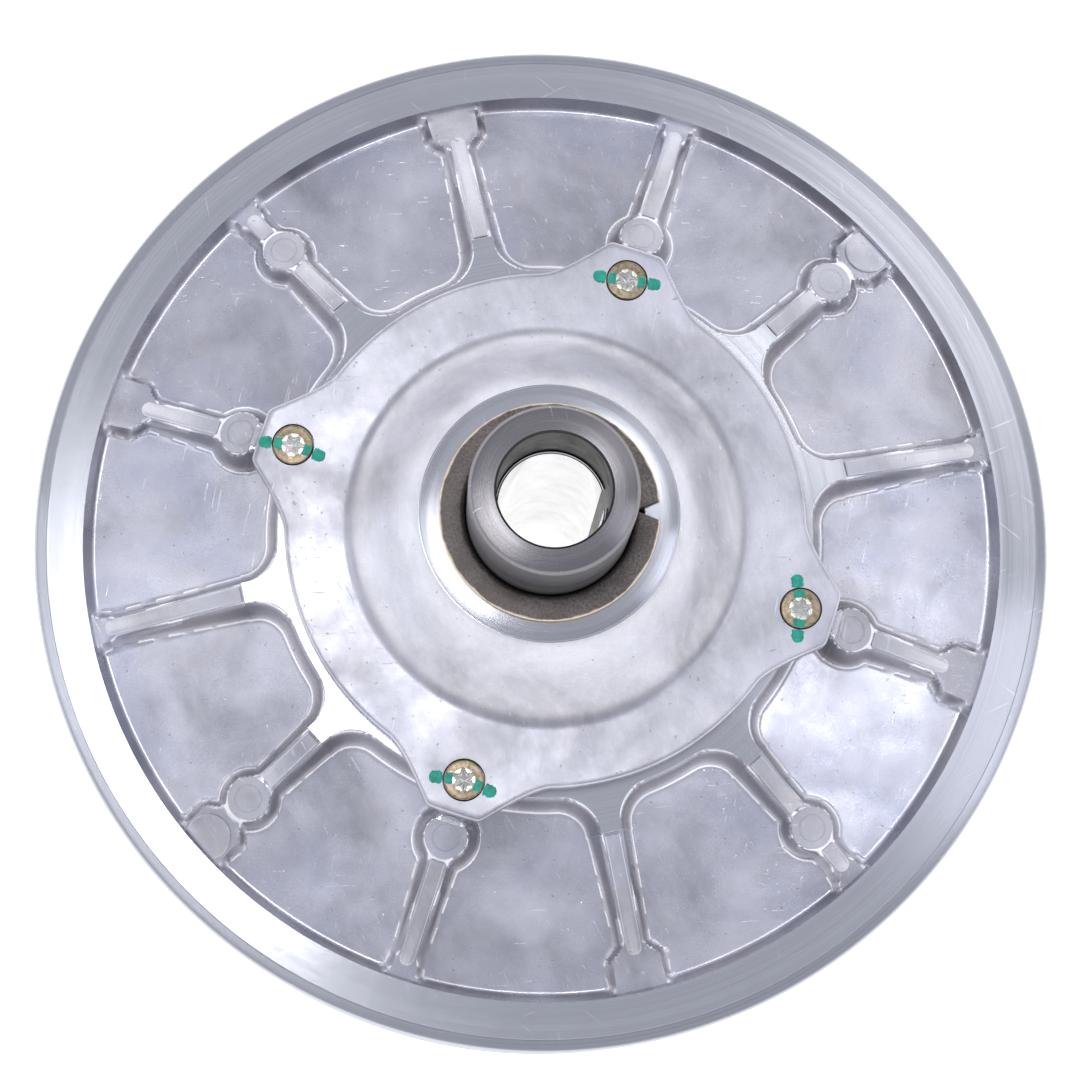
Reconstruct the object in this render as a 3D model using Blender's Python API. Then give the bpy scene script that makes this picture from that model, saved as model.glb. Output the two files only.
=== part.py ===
"""Driven pulley of a belt transmission (CVT), modelled closed and at rest.

Two conical sheaves share one hollow post. The fixed sheave is screwed to the post's flange. The
movable sheave slides and twists along the post: three rollers on a spider, which is fixed to the
post, ride on helical ramps in the sheave's chamber, and a coil spring closes the groove. A lobed
cover with a flanged bush closes the chamber. Metres; +Z runs along the post, away from the flange.
"""

import math

import bmesh
import bpy
from mathutils import Matrix, Vector

# Driving dimensions
SHEAVE_RADIUS = 0.1400
GROOVE_MIDDLE = 0.0425          # height of the plane that the two belt faces mirror about
GROOVE_RIM_HALF = 0.0175        # from that plane to a belt face, at the rim
BELT_FACE_ANGLE = math.radians(13.0)
POST_RADIUS = 0.0219
POST_LENGTH = 0.1406
POST_BORE_RADIUS = 0.0139
POST_MOUTH_RADIUS = 0.0147
POST_MOUTH_DEPTH = 0.0237
SHEAVE_TRAVEL = 0.0260
SHEAVE_TWIST = 0.632            # turn of the movable sheave over its whole travel, in radians
RIB_COUNT = 12
FIRST_RIB_ANGLE = math.radians(12.2)
ROLLER_COUNT = 3
FIRST_ROLLER_ANGLE = math.radians(30.0)
GAP = 0.0003                    # clearance between neighbouring pieces

# Back of a sheave: (radius, height over the groove's middle plane)
RIM_FACE_HEIGHT = 0.0242
RIM_INNER_RADIUS = 0.1259
RIB_DROP = 0.0010               # the rib tops lie this much under the rim and the hub faces
HUB_FACE_HEIGHT = 0.0380
HUB_FACE_RADIUS = 0.0836
POCKET_INNER_RADIUS = 0.0729
FIXED_POCKET_INNER_RADIUS = 0.0500
FIXED_HUB_FACE_RADIUS = 0.0600
RIB_HALF_WIDTH = 0.0036
PAD_HALF_WIDTH = 0.0072
PAD_START = 0.1130
PAD_FULL = 0.1170
RIB_BOSS_RADIUS = 0.0063
RIB_BOSS_RISE = 0.0007          # a boss stands this much over its rib's top
MIDDLE_BOSS_CENTRE = 0.1077
INNER_BOSS_CENTRE = 0.0872
POCKET_CORNER = 0.0100          # the pockets' rounded corners in plan
FIXED_POCKET_CORNER = 0.0060
POCKET_OUTER_CORNER = 0.0025
POCKET_FLOOR_INNER = (0.0770, 0.0280)
FIXED_POCKET_FLOOR_INNER = (0.0520, 0.0290)
POCKET_FLOOR_OUTER = (0.1220, 0.0200)

# Chamber of the movable sheave
CHAMBER_RADIUS = 0.0590
CHAMBER_WALL_RADIUS = 0.0605
BELT_FACE_INNER_RADIUS = 0.0658
CHAMBER_FLOOR = 0.0370
SHEAVE_BOTTOM = 0.0320
SHEAVE_HUB_RADIUS = 0.0275
SHEAVE_HUB_TOP = 0.0580
SHEAVE_HUB_BORE = 0.0247
RECESS_RADIUS = 0.0615
RECESS_FLOOR = 0.0310
FIXED_BELT_FACE_INNER_RADIUS = 0.0645
FIXED_HUB_BACK = 0.0015         # height of the flat back around the post's flange
FIXED_HUB_BACK_RADIUS = 0.0450
FIXED_HUB_BEVEL_RADIUS = 0.0480

# Cover
COVER_SEAT = GROOVE_MIDDLE + HUB_FACE_HEIGHT + GAP
COVER_FLANGE_TOP = 0.0865
COVER_RADIUS = 0.0705
COVER_DOME_START = 0.0535
COVER_DOME_END = 0.0385
COVER_DOME_TOP = 0.1050
COVER_TOP = 0.1075
COVER_RING_RADIUS = 0.0342
COVER_BORE = 0.0249
LOBE_REACH = 0.0817
LOBE_TIP_HALF = 0.0058
LOBE_BASE_HALF = 0.0230
COVER_SPIGOT = 0.0020
COVER_SPIGOT_BORE = 0.0563
COVER_SHELL_TOP = COVER_FLANGE_TOP - 0.0035
COVER_CAVITY_TOP = 0.1015
COVER_CAVITY_RADIUS = 0.0290
SCREW_CIRCLE = 0.0719
SCREW_COUNT = 4
FIRST_SCREW_ANGLE = math.radians(72.2)
SCREW_HEAD_RADIUS = 0.0055
SCREW_SHANK_RADIUS = 0.0030
SCREW_HEAD_HEIGHT = 0.0035
SCREW_SEAT = 0.0830
SCREW_BOTTOM = 0.0651
SCREW_HOLE_DEPTH = 0.0180
SOCKET_RADIUS = 0.0025
SOCKET_LOBES = 0.12
SOCKET_DEPTH = 0.0024

# Bushes
COVER_BUSH_RADIUS = 0.0246
COVER_BUSH_FLANGE_RADIUS = 0.0291
COVER_BUSH_FLANGE = 0.0017
COVER_BUSH_BOTTOM = 0.0988
BUSH_BORE = POST_RADIUS + GAP
BUSH_SPLIT_ANGLE = math.radians(1.0)
BUSH_SPLIT_RIM_HALF = 0.0026
BUSH_SPLIT_HALF = 0.0004

# Post flange and its screws
FLANGE_RADIUS = 0.0360
FLANGE_THICKNESS = 0.0070
FLANGE_SCREW_COUNT = 6
FLANGE_SCREW_CIRCLE = 0.0290
FIRST_FLANGE_SCREW_ANGLE = math.radians(26.0)
FLANGE_SCREW_RECESS = 0.0044
FLANGE_SCREW_HEAD = 0.0036
FLANGE_SCREW_LENGTH = 0.0220
FLANGE_SCREW_TOP = 0.0005
FLANGE_HOLE_END = 0.0240
KEYWAY_WIDTH = 0.0050
KEYWAY_DEPTH = 0.0018
KEYWAY_ANGLE = math.radians(8.0)
KEYWAY_START = 0.0100

# Spider, rollers, ramps and spring
SPIDER_TOP = 0.0960
SPIDER_PLATE = 0.0060
SPIDER_BOTTOM = 0.0660
SPIDER_RADIUS = 0.0380
SPIDER_WALL = 0.0030
SPIDER_HUB_RADIUS = 0.0262
SPIDER_HUB_BOTTOM = 0.0850
ROLLER_HEIGHT = 0.0730
ROLLER_RADIUS = 0.0080
ROLLER_BORE = 0.0038
ROLLER_INNER_END = 0.0429
ROLLER_OUTER_END = 0.0550
PIN_RADIUS = 0.0035
PIN_INNER_END = 0.0353
PIN_HEAD_START = 0.0564
PIN_HEAD_END = 0.0578
PIN_HEAD_RADIUS = 0.0048
PIN_BOSS_RADIUS = 0.0068
PIN_BOSS_END = 0.0426
WASHER_RADIUS = 0.0060
RAMP_INNER_RADIUS = 0.0432
RAMP_OUTER_RADIUS = 0.0575
RAMP_RING_INNER = 0.0405
RAMP_RING_TOP = 0.0383
RAMP_BELOW_ROLLER = 0.0115      # ramp surface under a roller's axis, measured straight down
RAMP_RUN_ON = math.radians(9.5)
RETAINING_RING_THICKNESS = 0.0015
RETAINING_RING_RADIUS = 0.0250
RETAINING_GROOVE_RADIUS = 0.0210
RETAINING_RING_OPENING = 0.0050
SPRING_RADIUS = 0.0320
SPRING_WIRE_RADIUS = 0.00225
SPRING_TURNS = 5.0
SPRING_WASHER_THICKNESS = 0.0015
SPRING_SEAT_THICKNESS = 0.0015
SPRING_WASHER_RADIUS = 0.0355

SHEAVE_SEGMENTS = 48
BODY_SEGMENTS = 36
SMALL_SEGMENTS = 18
SCREW_SEGMENTS = 12
HOLE_SIDES = 8


# ---------------------------------------------------------------- scene and materials

def clear_scene():
    for item in list(bpy.data.objects):
        bpy.data.objects.remove(item)


def make_material(name, color, roughness, metallic):
    material = bpy.data.materials.new(name)
    material.use_nodes = True
    shader = material.node_tree.nodes["Principled BSDF"]
    shader.inputs["Base Color"].default_value = (*color, 1.0)
    shader.inputs["Roughness"].default_value = roughness
    shader.inputs["Metallic"].default_value = metallic
    return material


def cast_aluminium(name):
    return make_material(name, (0.50, 0.51, 0.56), 0.42, 1.0)


def turned_steel(name):
    return make_material(name, (0.56, 0.55, 0.54), 0.28, 1.0)


def zinc_yellow(name):
    return make_material(name, (0.72, 0.56, 0.32), 0.32, 1.0)


def sliding_bronze(name):
    return make_material(name, (0.30, 0.26, 0.22), 0.55, 0.6)


def spring_steel(name):
    return make_material(name, (0.30, 0.31, 0.33), 0.38, 1.0)


def black_polymer(name):
    return make_material(name, (0.05, 0.05, 0.05), 0.55, 0.0)


def hardened_steel(name):
    return make_material(name, (0.42, 0.42, 0.43), 0.30, 1.0)


# ---------------------------------------------------------------- modelling helpers

def link_object(name, mesh):
    piece = bpy.data.objects.new(name, mesh)
    bpy.context.scene.collection.objects.link(piece)
    return piece


def object_from_bmesh(name, solid):
    bmesh.ops.recalc_face_normals(solid, faces=solid.faces)
    mesh = bpy.data.meshes.new(name)
    solid.to_mesh(mesh)
    solid.free()
    return link_object(name, mesh)


def finish(piece, material):
    """Gives a piece its material and smooth shading with sharp edges kept."""
    piece.data.materials.append(material)
    piece.data.shade_smooth()
    piece.data.set_sharp_from_angle(angle=math.radians(35.0))
    return piece


def turned(name, profile, segments):
    """Solid of revolution about Z. The (radius, height) profile closes on itself or on the axis."""
    solid = bmesh.new()
    verts = [solid.verts.new((radius, 0.0, height)) for radius, height in profile]
    edges = [solid.edges.new(pair) for pair in zip(verts, verts[1:])]
    if profile[0][0] > 0.0:
        edges.append(solid.edges.new((verts[-1], verts[0])))
    bmesh.ops.spin(solid, geom=verts + edges, cent=(0.0, 0.0, 0.0), axis=(0.0, 0.0, 1.0),
                   angle=2.0 * math.pi, steps=segments, use_merge=True)
    bmesh.ops.remove_doubles(solid, verts=solid.verts, dist=1e-6)
    bmesh.ops.dissolve_degenerate(solid, edges=solid.edges, dist=1e-6)
    return object_from_bmesh(name, solid)


def ring(name, inner, outer, bottom, top, segments):
    return turned(name, [(inner, bottom), (outer, bottom), (outer, top), (inner, top)], segments)


def add_prism(solid, outline, bottom, top):
    """Adds an upright prism. Bottom and top are heights, each a function of (x, y)."""
    low = [solid.verts.new((x, y, bottom(x, y))) for x, y in outline]
    high = [solid.verts.new((x, y, top(x, y))) for x, y in outline]
    solid.faces.new(list(reversed(low)))
    solid.faces.new(high)
    for index in range(len(outline)):
        after = (index + 1) % len(outline)
        solid.faces.new((low[index], low[after], high[after], high[index]))


def circle_outline(centre, radius, count):
    turn = 2.0 * math.pi / count
    return [(centre[0] + radius * math.cos(turn * index),
             centre[1] + radius * math.sin(turn * index)) for index in range(count)]


def at_angle(radius, angle):
    return (radius * math.cos(angle), radius * math.sin(angle))


def around(count, first):
    """Evenly spaced angles."""
    return [first + 2.0 * math.pi * index / count for index in range(count)]


def upright_cylinders(name, places, radius, bottom, top, sides):
    solid = bmesh.new()
    for place in places:
        add_prism(solid, circle_outline(place, radius, sides), lambda x, y: bottom, lambda x, y: top)
    return object_from_bmesh(name, solid)


def boolean(target, tool, operation):
    """Cuts or joins with a tool object, which stays a wireframe guide."""
    modifier = target.modifiers.new(tool.name, "BOOLEAN")
    modifier.operation = operation
    modifier.object = tool
    tool.hide_render = True
    tool.display_type = "WIRE"


def cut(target, tool):
    boolean(target, tool, "DIFFERENCE")


def join(target, tool):
    boolean(target, tool, "UNION")


def smooth_step(start, end, count):
    """Points of a smooth S between two points of a profile, both ends included."""
    points = []
    for index in range(count + 1):
        t = index / count
        lift = t * t * (3.0 - 2.0 * t)
        points.append((start[0] + (end[0] - start[0]) * t, start[1] + (end[1] - start[1]) * lift))
    return points


# ---------------------------------------------------------------- sheaves

def belt_face(radius):
    """Distance from the groove's middle plane to a belt face."""
    return GROOVE_RIM_HALF - (SHEAVE_RADIUS - radius) * math.tan(BELT_FACE_ANGLE)


def rim_and_ribs(hub_face_radius):
    """Outer part of a sheave's profile: belt face edge, rim, rib tops, edge of the hub face."""
    return [
        (SHEAVE_RADIUS - 0.0008, belt_face(SHEAVE_RADIUS - 0.0008)),
        (SHEAVE_RADIUS, belt_face(SHEAVE_RADIUS) + 0.0006),
        (SHEAVE_RADIUS, RIM_FACE_HEIGHT - 0.0018),
        (SHEAVE_RADIUS - 0.0010, RIM_FACE_HEIGHT - 0.0006),
        (SHEAVE_RADIUS - 0.0032, RIM_FACE_HEIGHT),
        (RIM_INNER_RADIUS, RIM_FACE_HEIGHT),
        (RIM_INNER_RADIUS - 0.0003, RIM_FACE_HEIGHT - RIB_DROP),
        (hub_face_radius + 0.0004, HUB_FACE_HEIGHT - RIB_DROP),
        (hub_face_radius, HUB_FACE_HEIGHT),
    ]


def rib_side(inner_radius, corner, outer_half_width):
    """One side of a pocket, from its inner to its outer end, as (along the rib, off its axis)."""
    points = []
    centre_off = RIB_HALF_WIDTH + corner
    centre_along = math.sqrt((inner_radius + corner) ** 2 - centre_off ** 2)
    toward_axis = math.atan2(-centre_off, -centre_along)
    toward_rib = -0.5 * math.pi
    for index in range(4):
        angle = toward_axis + (toward_rib - toward_axis) * index / 3.0
        points.append((centre_along + corner * math.cos(angle), centre_off + corner * math.sin(angle)))
    if outer_half_width > RIB_HALF_WIDTH:
        points.append((PAD_START, RIB_HALF_WIDTH))
        points.append((PAD_FULL, outer_half_width))
    centre_off = outer_half_width + POCKET_OUTER_CORNER
    centre_along = math.sqrt((RIM_INNER_RADIUS - POCKET_OUTER_CORNER) ** 2 - centre_off ** 2)
    outward = math.atan2(centre_off, centre_along)
    for index in range(3):
        angle = -0.5 * math.pi + (outward + 0.5 * math.pi) * index / 2.0
        points.append((centre_along + POCKET_OUTER_CORNER * math.cos(angle),
                       centre_off + POCKET_OUTER_CORNER * math.sin(angle)))
    return points


def pocket_outline(inner_radius, corner, pad_on_first_rib):
    """Outline of a pocket between two ribs, with X along the pocket's middle line."""
    half_pitch = math.pi / RIB_COUNT
    half_widths = (PAD_HALF_WIDTH, RIB_HALF_WIDTH)
    if not pad_on_first_rib:
        half_widths = (RIB_HALF_WIDTH, PAD_HALF_WIDTH)
    cosine = math.cos(half_pitch)
    sine = math.sin(half_pitch)
    first = [(along * cosine + off * sine, off * cosine - along * sine)
             for along, off in rib_side(inner_radius, corner, half_widths[0])]
    second = [(along * cosine + off * sine, along * sine - off * cosine)
              for along, off in rib_side(inner_radius, corner, half_widths[1])]
    rim_arc = []
    start = math.atan2(first[-1][1], first[-1][0])
    end = math.atan2(second[-1][1], second[-1][0])
    for index in range(1, 4):
        rim_arc.append(at_angle(RIM_INNER_RADIUS, start + (end - start) * index / 4.0))
    return first + rim_arc + list(reversed(second))


def pocket_cutter(name, side, inner_radius, corner, floor_inner, floor_outer):
    """The twelve pockets. Floors slope from the floor_inner to the floor_outer (radius, height)."""
    solid = bmesh.new()
    slope = (floor_outer[1] - floor_inner[1]) / (floor_outer[0] - floor_inner[0])
    for index, rib_angle in enumerate(around(RIB_COUNT, FIRST_RIB_ANGLE)):
        part = bmesh.new()
        add_prism(part, pocket_outline(inner_radius, corner, index % 2 == 1),
                  lambda x, y: GROOVE_MIDDLE + side * (floor_inner[1] + slope * (x - floor_inner[0])),
                  lambda x, y: GROOVE_MIDDLE + side * (HUB_FACE_HEIGHT + 0.01))
        turn = Matrix.Rotation(rib_angle + math.pi / RIB_COUNT, 4, "Z")
        bmesh.ops.transform(part, matrix=turn, verts=part.verts)
        mesh = bpy.data.meshes.new("pocket")
        part.to_mesh(mesh)
        part.free()
        solid.from_mesh(mesh)
        bpy.data.meshes.remove(mesh)
    return object_from_bmesh(name, solid)


def rib_bosses(name, side):
    """Round bosses on the ribs: every third rib has one at mid length, the next one near the hub."""
    solid = bmesh.new()
    span = RIM_INNER_RADIUS - HUB_FACE_RADIUS
    for index, angle in enumerate(around(RIB_COUNT, FIRST_RIB_ANGLE)):
        kind = index % 3
        if kind == 0:
            continue
        centre = MIDDLE_BOSS_CENTRE if kind == 1 else INNER_BOSS_CENTRE
        fall = (centre - HUB_FACE_RADIUS) / span * (HUB_FACE_HEIGHT - RIM_FACE_HEIGHT)
        top = GROOVE_MIDDLE + side * (HUB_FACE_HEIGHT - RIB_DROP - fall + RIB_BOSS_RISE)
        bottom = GROOVE_MIDDLE + side * (belt_face(centre) + 0.0040)
        outline = circle_outline(at_angle(centre, angle), RIB_BOSS_RADIUS, SCREW_SEGMENTS)
        add_prism(solid, outline, lambda x, y: bottom, lambda x, y: top)
    return object_from_bmesh(name, solid)


def screw_places():
    return [at_angle(SCREW_CIRCLE, angle) for angle in around(SCREW_COUNT, FIRST_SCREW_ANGLE)]


def make_movable_sheave():
    crest = GROOVE_MIDDLE + belt_face(BELT_FACE_INNER_RADIUS)
    profile = [
        (SHEAVE_HUB_BORE, SHEAVE_BOTTOM),
        (CHAMBER_WALL_RADIUS, SHEAVE_BOTTOM),
        (CHAMBER_WALL_RADIUS, crest),
        (BELT_FACE_INNER_RADIUS, crest),
    ]
    profile += [(radius, GROOVE_MIDDLE + height) for radius, height in rim_and_ribs(HUB_FACE_RADIUS)]
    profile += [
        (CHAMBER_RADIUS, GROOVE_MIDDLE + HUB_FACE_HEIGHT),
        (CHAMBER_RADIUS, CHAMBER_FLOOR),
        (SHEAVE_HUB_RADIUS, CHAMBER_FLOOR),
        (SHEAVE_HUB_RADIUS, SHEAVE_HUB_TOP),
        (SHEAVE_HUB_BORE, SHEAVE_HUB_TOP),
    ]
    sheave = turned("movable_sheave", profile, SHEAVE_SEGMENTS)
    pockets = pocket_cutter("movable_pockets", 1.0, POCKET_INNER_RADIUS, POCKET_CORNER,
                            POCKET_FLOOR_INNER, POCKET_FLOOR_OUTER)
    holes = upright_cylinders("movable_screw_holes", screw_places(), SCREW_SHANK_RADIUS + GAP,
                              COVER_SEAT - SCREW_HOLE_DEPTH, COVER_SEAT + 0.0010, HOLE_SIDES)
    cut(sheave, pockets)
    join(sheave, rib_bosses("movable_bosses", 1.0))
    cut(sheave, holes)
    return finish(sheave, cast_aluminium("movable_sheave_aluminium"))


def flange_screw_places():
    angles = around(FLANGE_SCREW_COUNT, FIRST_FLANGE_SCREW_ANGLE)
    return [at_angle(FLANGE_SCREW_CIRCLE, angle) for angle in angles]


def make_fixed_sheave():
    crest = GROOVE_MIDDLE - belt_face(FIXED_BELT_FACE_INNER_RADIUS)
    profile = [
        (BUSH_BORE, RECESS_FLOOR),
        (RECESS_RADIUS, RECESS_FLOOR),
        (RECESS_RADIUS, crest),
        (FIXED_BELT_FACE_INNER_RADIUS, crest),
    ]
    outer = rim_and_ribs(FIXED_HUB_FACE_RADIUS)
    profile += [(radius, GROOVE_MIDDLE - height) for radius, height in outer]
    profile += [
        (FIXED_HUB_BEVEL_RADIUS, GROOVE_MIDDLE - HUB_FACE_HEIGHT),
        (FIXED_HUB_BACK_RADIUS, FIXED_HUB_BACK),
        (FLANGE_RADIUS + GAP, FIXED_HUB_BACK),
        (FLANGE_RADIUS + GAP, FLANGE_THICKNESS + GAP),
        (BUSH_BORE, FLANGE_THICKNESS + GAP),
    ]
    sheave = turned("fixed_sheave", profile, SHEAVE_SEGMENTS)
    pockets = pocket_cutter("fixed_pockets", -1.0, FIXED_POCKET_INNER_RADIUS, FIXED_POCKET_CORNER,
                            FIXED_POCKET_FLOOR_INNER, POCKET_FLOOR_OUTER)
    holes = upright_cylinders("fixed_screw_holes", flange_screw_places(), SCREW_SHANK_RADIUS + GAP,
                              FLANGE_THICKNESS - 0.0010, FLANGE_HOLE_END, HOLE_SIDES)
    cut(sheave, pockets)
    cut(sheave, holes)
    return finish(sheave, cast_aluminium("fixed_sheave_aluminium"))


# ---------------------------------------------------------------- post

def make_post():
    groove_top = SPIDER_TOP + RETAINING_RING_THICKNESS + 2.0 * GAP
    mouth_floor = POST_LENGTH - POST_MOUTH_DEPTH
    profile = [
        (POST_BORE_RADIUS + 0.0010, 0.0),
        (FLANGE_RADIUS - 0.0010, 0.0),
        (FLANGE_RADIUS, 0.0010),
        (FLANGE_RADIUS, FLANGE_THICKNESS),
        (POST_RADIUS, FLANGE_THICKNESS),
        (POST_RADIUS, SPIDER_TOP),
        (RETAINING_GROOVE_RADIUS, SPIDER_TOP),
        (RETAINING_GROOVE_RADIUS, groove_top),
        (POST_RADIUS, groove_top),
        (POST_RADIUS, POST_LENGTH - 0.0007),
        (POST_RADIUS - 0.0007, POST_LENGTH),
        (POST_MOUTH_RADIUS + 0.0004, POST_LENGTH),
        (POST_MOUTH_RADIUS, POST_LENGTH - 0.0006),
        (POST_MOUTH_RADIUS, mouth_floor),
        (POST_BORE_RADIUS, mouth_floor),
        (POST_BORE_RADIUS, 0.0010),
    ]
    post = turned("post_shaft", profile, BODY_SEGMENTS)
    recesses = upright_cylinders("flange_recesses", flange_screw_places(), SCREW_HEAD_RADIUS + GAP,
                                 -0.0010, FLANGE_SCREW_RECESS, SCREW_SEGMENTS)
    holes = upright_cylinders("flange_holes", flange_screw_places(), SCREW_SHANK_RADIUS + GAP,
                              -0.0020, FLANGE_THICKNESS + 0.0010, HOLE_SIDES)
    keyway = bmesh.new()
    far = POST_BORE_RADIUS + KEYWAY_DEPTH
    half = 0.5 * KEYWAY_WIDTH
    outline = [(KEYWAY_START, -half), (far, -half), (far, half), (KEYWAY_START, half)]
    add_prism(keyway, outline, lambda x, y: -0.0010, lambda x, y: mouth_floor + 0.0010)
    turn = Matrix.Rotation(KEYWAY_ANGLE, 4, "Z")
    bmesh.ops.transform(keyway, matrix=turn, verts=keyway.verts)
    cut(post, recesses)
    cut(post, holes)
    cut(post, object_from_bmesh("keyway_cutter", keyway))
    return finish(post, turned_steel("post_steel"))


def make_retaining_ring():
    """Open snap ring in the post's groove, on top of the spider."""
    bottom = SPIDER_TOP + GAP
    snap = ring("retaining_ring", RETAINING_GROOVE_RADIUS + GAP, RETAINING_RING_RADIUS, bottom,
                bottom + RETAINING_RING_THICKNESS, BODY_SEGMENTS)
    opening = bmesh.new()
    near = POST_BORE_RADIUS
    far = RETAINING_RING_RADIUS + RETAINING_RING_OPENING
    half = 0.5 * RETAINING_RING_OPENING
    outline = [(near, -half), (far, -half), (far, half), (near, half)]
    add_prism(opening, outline, lambda x, y: bottom - 0.0010, lambda x, y: bottom + 0.0040)
    cut(snap, object_from_bmesh("snap_ring_opening", opening))
    return finish(snap, spring_steel("retaining_ring_steel"))


# ---------------------------------------------------------------- screws

def screw_mesh(name, head_radius, head_height, length):
    """Round head screw with a six-lobed socket. Its head's top is at z = 0, its shank points down."""
    profile = [
        (0.0, -length),
        (SCREW_SHANK_RADIUS, -length),
        (SCREW_SHANK_RADIUS, -head_height),
        (head_radius, -head_height),
        (head_radius, -0.0008),
        (head_radius - 0.0009, 0.0),
        (SOCKET_RADIUS, 0.0),
        (0.0, -SOCKET_DEPTH),
    ]
    screw = turned(name, profile, SCREW_SEGMENTS)
    for vert in screw.data.vertices:
        on_socket_edge = abs(math.hypot(vert.co.x, vert.co.y) - SOCKET_RADIUS) < 1e-5
        if on_socket_edge:
            lobes = 1.0 + SOCKET_LOBES * math.cos(6.0 * math.atan2(vert.co.y, vert.co.x))
            vert.co.x *= lobes
            vert.co.y *= lobes
    return screw


def make_cover_screws():
    top = SCREW_SEAT + GAP + SCREW_HEAD_HEIGHT
    first = screw_mesh("cover_screw_1", SCREW_HEAD_RADIUS, SCREW_HEAD_HEIGHT, top - SCREW_BOTTOM)
    finish(first, zinc_yellow("cover_screw_zinc"))
    for index, place in enumerate(screw_places()):
        screw = first if index == 0 else link_object(f"cover_screw_{index + 1}", first.data)
        screw.location = (place[0], place[1], top)


def make_flange_screws():
    first = screw_mesh("flange_screw_1", SCREW_HEAD_RADIUS, FLANGE_SCREW_HEAD, FLANGE_SCREW_LENGTH)
    finish(first, spring_steel("flange_screw_steel"))
    for index, place in enumerate(flange_screw_places()):
        screw = first if index == 0 else link_object(f"flange_screw_{index + 1}", first.data)
        screw.location = (place[0], place[1], FLANGE_SCREW_TOP)
        screw.rotation_euler = (math.pi, 0.0, 0.0)


# ---------------------------------------------------------------- cover and bushes

def cover_outline():
    """Round flange with four lobes, whose sides run into the round edge in a smooth S."""
    points = []
    base = math.sqrt(COVER_RADIUS ** 2 - LOBE_BASE_HALF ** 2)
    base_angle = math.asin(LOBE_BASE_HALF / COVER_RADIUS)
    gap_angle = 2.0 * math.pi / SCREW_COUNT - 2.0 * base_angle
    flank = smooth_step((LOBE_TIP_HALF, LOBE_REACH), (LOBE_BASE_HALF, base), 6)
    lobe = [(-off, along) for off, along in reversed(flank)] + flank
    steps = 7
    for lobe_angle in around(SCREW_COUNT, FIRST_SCREW_ANGLE):
        for off, along in lobe:
            points.append(at_angle(math.hypot(along, off), lobe_angle + math.atan2(off, along)))
        for index in range(1, steps):
            angle = lobe_angle + base_angle + gap_angle * index / steps
            points.append(at_angle(COVER_RADIUS, angle))
    return points


def make_cover():
    spigot_bottom = COVER_SEAT - COVER_SPIGOT
    step = 0.5 * (CHAMBER_RADIUS + COVER_RADIUS)
    dome = [(0.0, spigot_bottom), (CHAMBER_RADIUS - GAP, spigot_bottom),
            (CHAMBER_RADIUS - GAP, COVER_SEAT + 0.0010), (step, COVER_SEAT + 0.0010),
            (step, COVER_FLANGE_TOP)]
    dome += smooth_step((COVER_DOME_START, COVER_FLANGE_TOP), (COVER_DOME_END, COVER_DOME_TOP), 6)
    dome += [(COVER_RING_RADIUS + 0.0014, COVER_TOP - 0.0006), (COVER_RING_RADIUS, COVER_TOP)]
    dome += [(0.0, COVER_TOP)]
    cover = turned("cover", dome, BODY_SEGMENTS)

    flange = bmesh.new()
    add_prism(flange, cover_outline(), lambda x, y: COVER_SEAT, lambda x, y: COVER_FLANGE_TOP)
    join(cover, object_from_bmesh("cover_flange", flange))

    below = spigot_bottom - 0.0020
    above = COVER_TOP + 0.0020
    hollow = [(0.0, below), (COVER_SPIGOT_BORE, below), (COVER_SPIGOT_BORE, COVER_SHELL_TOP)]
    hollow += smooth_step((COVER_DOME_START - 0.0035, COVER_SHELL_TOP),
                          (COVER_DOME_END - 0.0035, COVER_CAVITY_TOP), 4)
    hollow += [(COVER_CAVITY_RADIUS, COVER_CAVITY_TOP), (COVER_CAVITY_RADIUS, COVER_BUSH_BOTTOM),
               (COVER_BORE, COVER_BUSH_BOTTOM), (COVER_BORE, above), (0.0, above)]
    cut(cover, turned("cover_hollow", hollow, BODY_SEGMENTS))

    holes = upright_cylinders("cover_holes", screw_places(), SCREW_SHANK_RADIUS + GAP,
                              COVER_SEAT - 0.0010, COVER_FLANGE_TOP + 0.0010, HOLE_SIDES)
    seats = upright_cylinders("cover_screw_seats", screw_places(), SCREW_HEAD_RADIUS + GAP,
                              SCREW_SEAT, COVER_FLANGE_TOP + 0.0020, SCREW_SEGMENTS)
    cut(cover, holes)
    cut(cover, seats)
    return finish(cover, cast_aluminium("cover_aluminium"))


def make_cover_bush():
    flange_bottom = COVER_TOP + GAP
    flange_top = flange_bottom + COVER_BUSH_FLANGE
    profile = [
        (BUSH_BORE, COVER_BUSH_BOTTOM),
        (COVER_BUSH_RADIUS, COVER_BUSH_BOTTOM),
        (COVER_BUSH_RADIUS, flange_bottom),
        (COVER_BUSH_FLANGE_RADIUS, flange_bottom),
        (COVER_BUSH_FLANGE_RADIUS, flange_top - 0.0004),
        (COVER_BUSH_FLANGE_RADIUS - 0.0004, flange_top),
        (BUSH_BORE + 0.0008, flange_top),
        (BUSH_BORE, flange_top - 0.0008),
    ]
    bush = turned("cover_bush", profile, BODY_SEGMENTS)
    slot = ring_slot(COVER_BUSH_BOTTOM, flange_top)
    vee = vee_slot(flange_bottom, flange_top)
    cut(bush, slot)
    cut(bush, vee)
    return finish(bush, sliding_bronze("cover_bush_bronze"))


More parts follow.
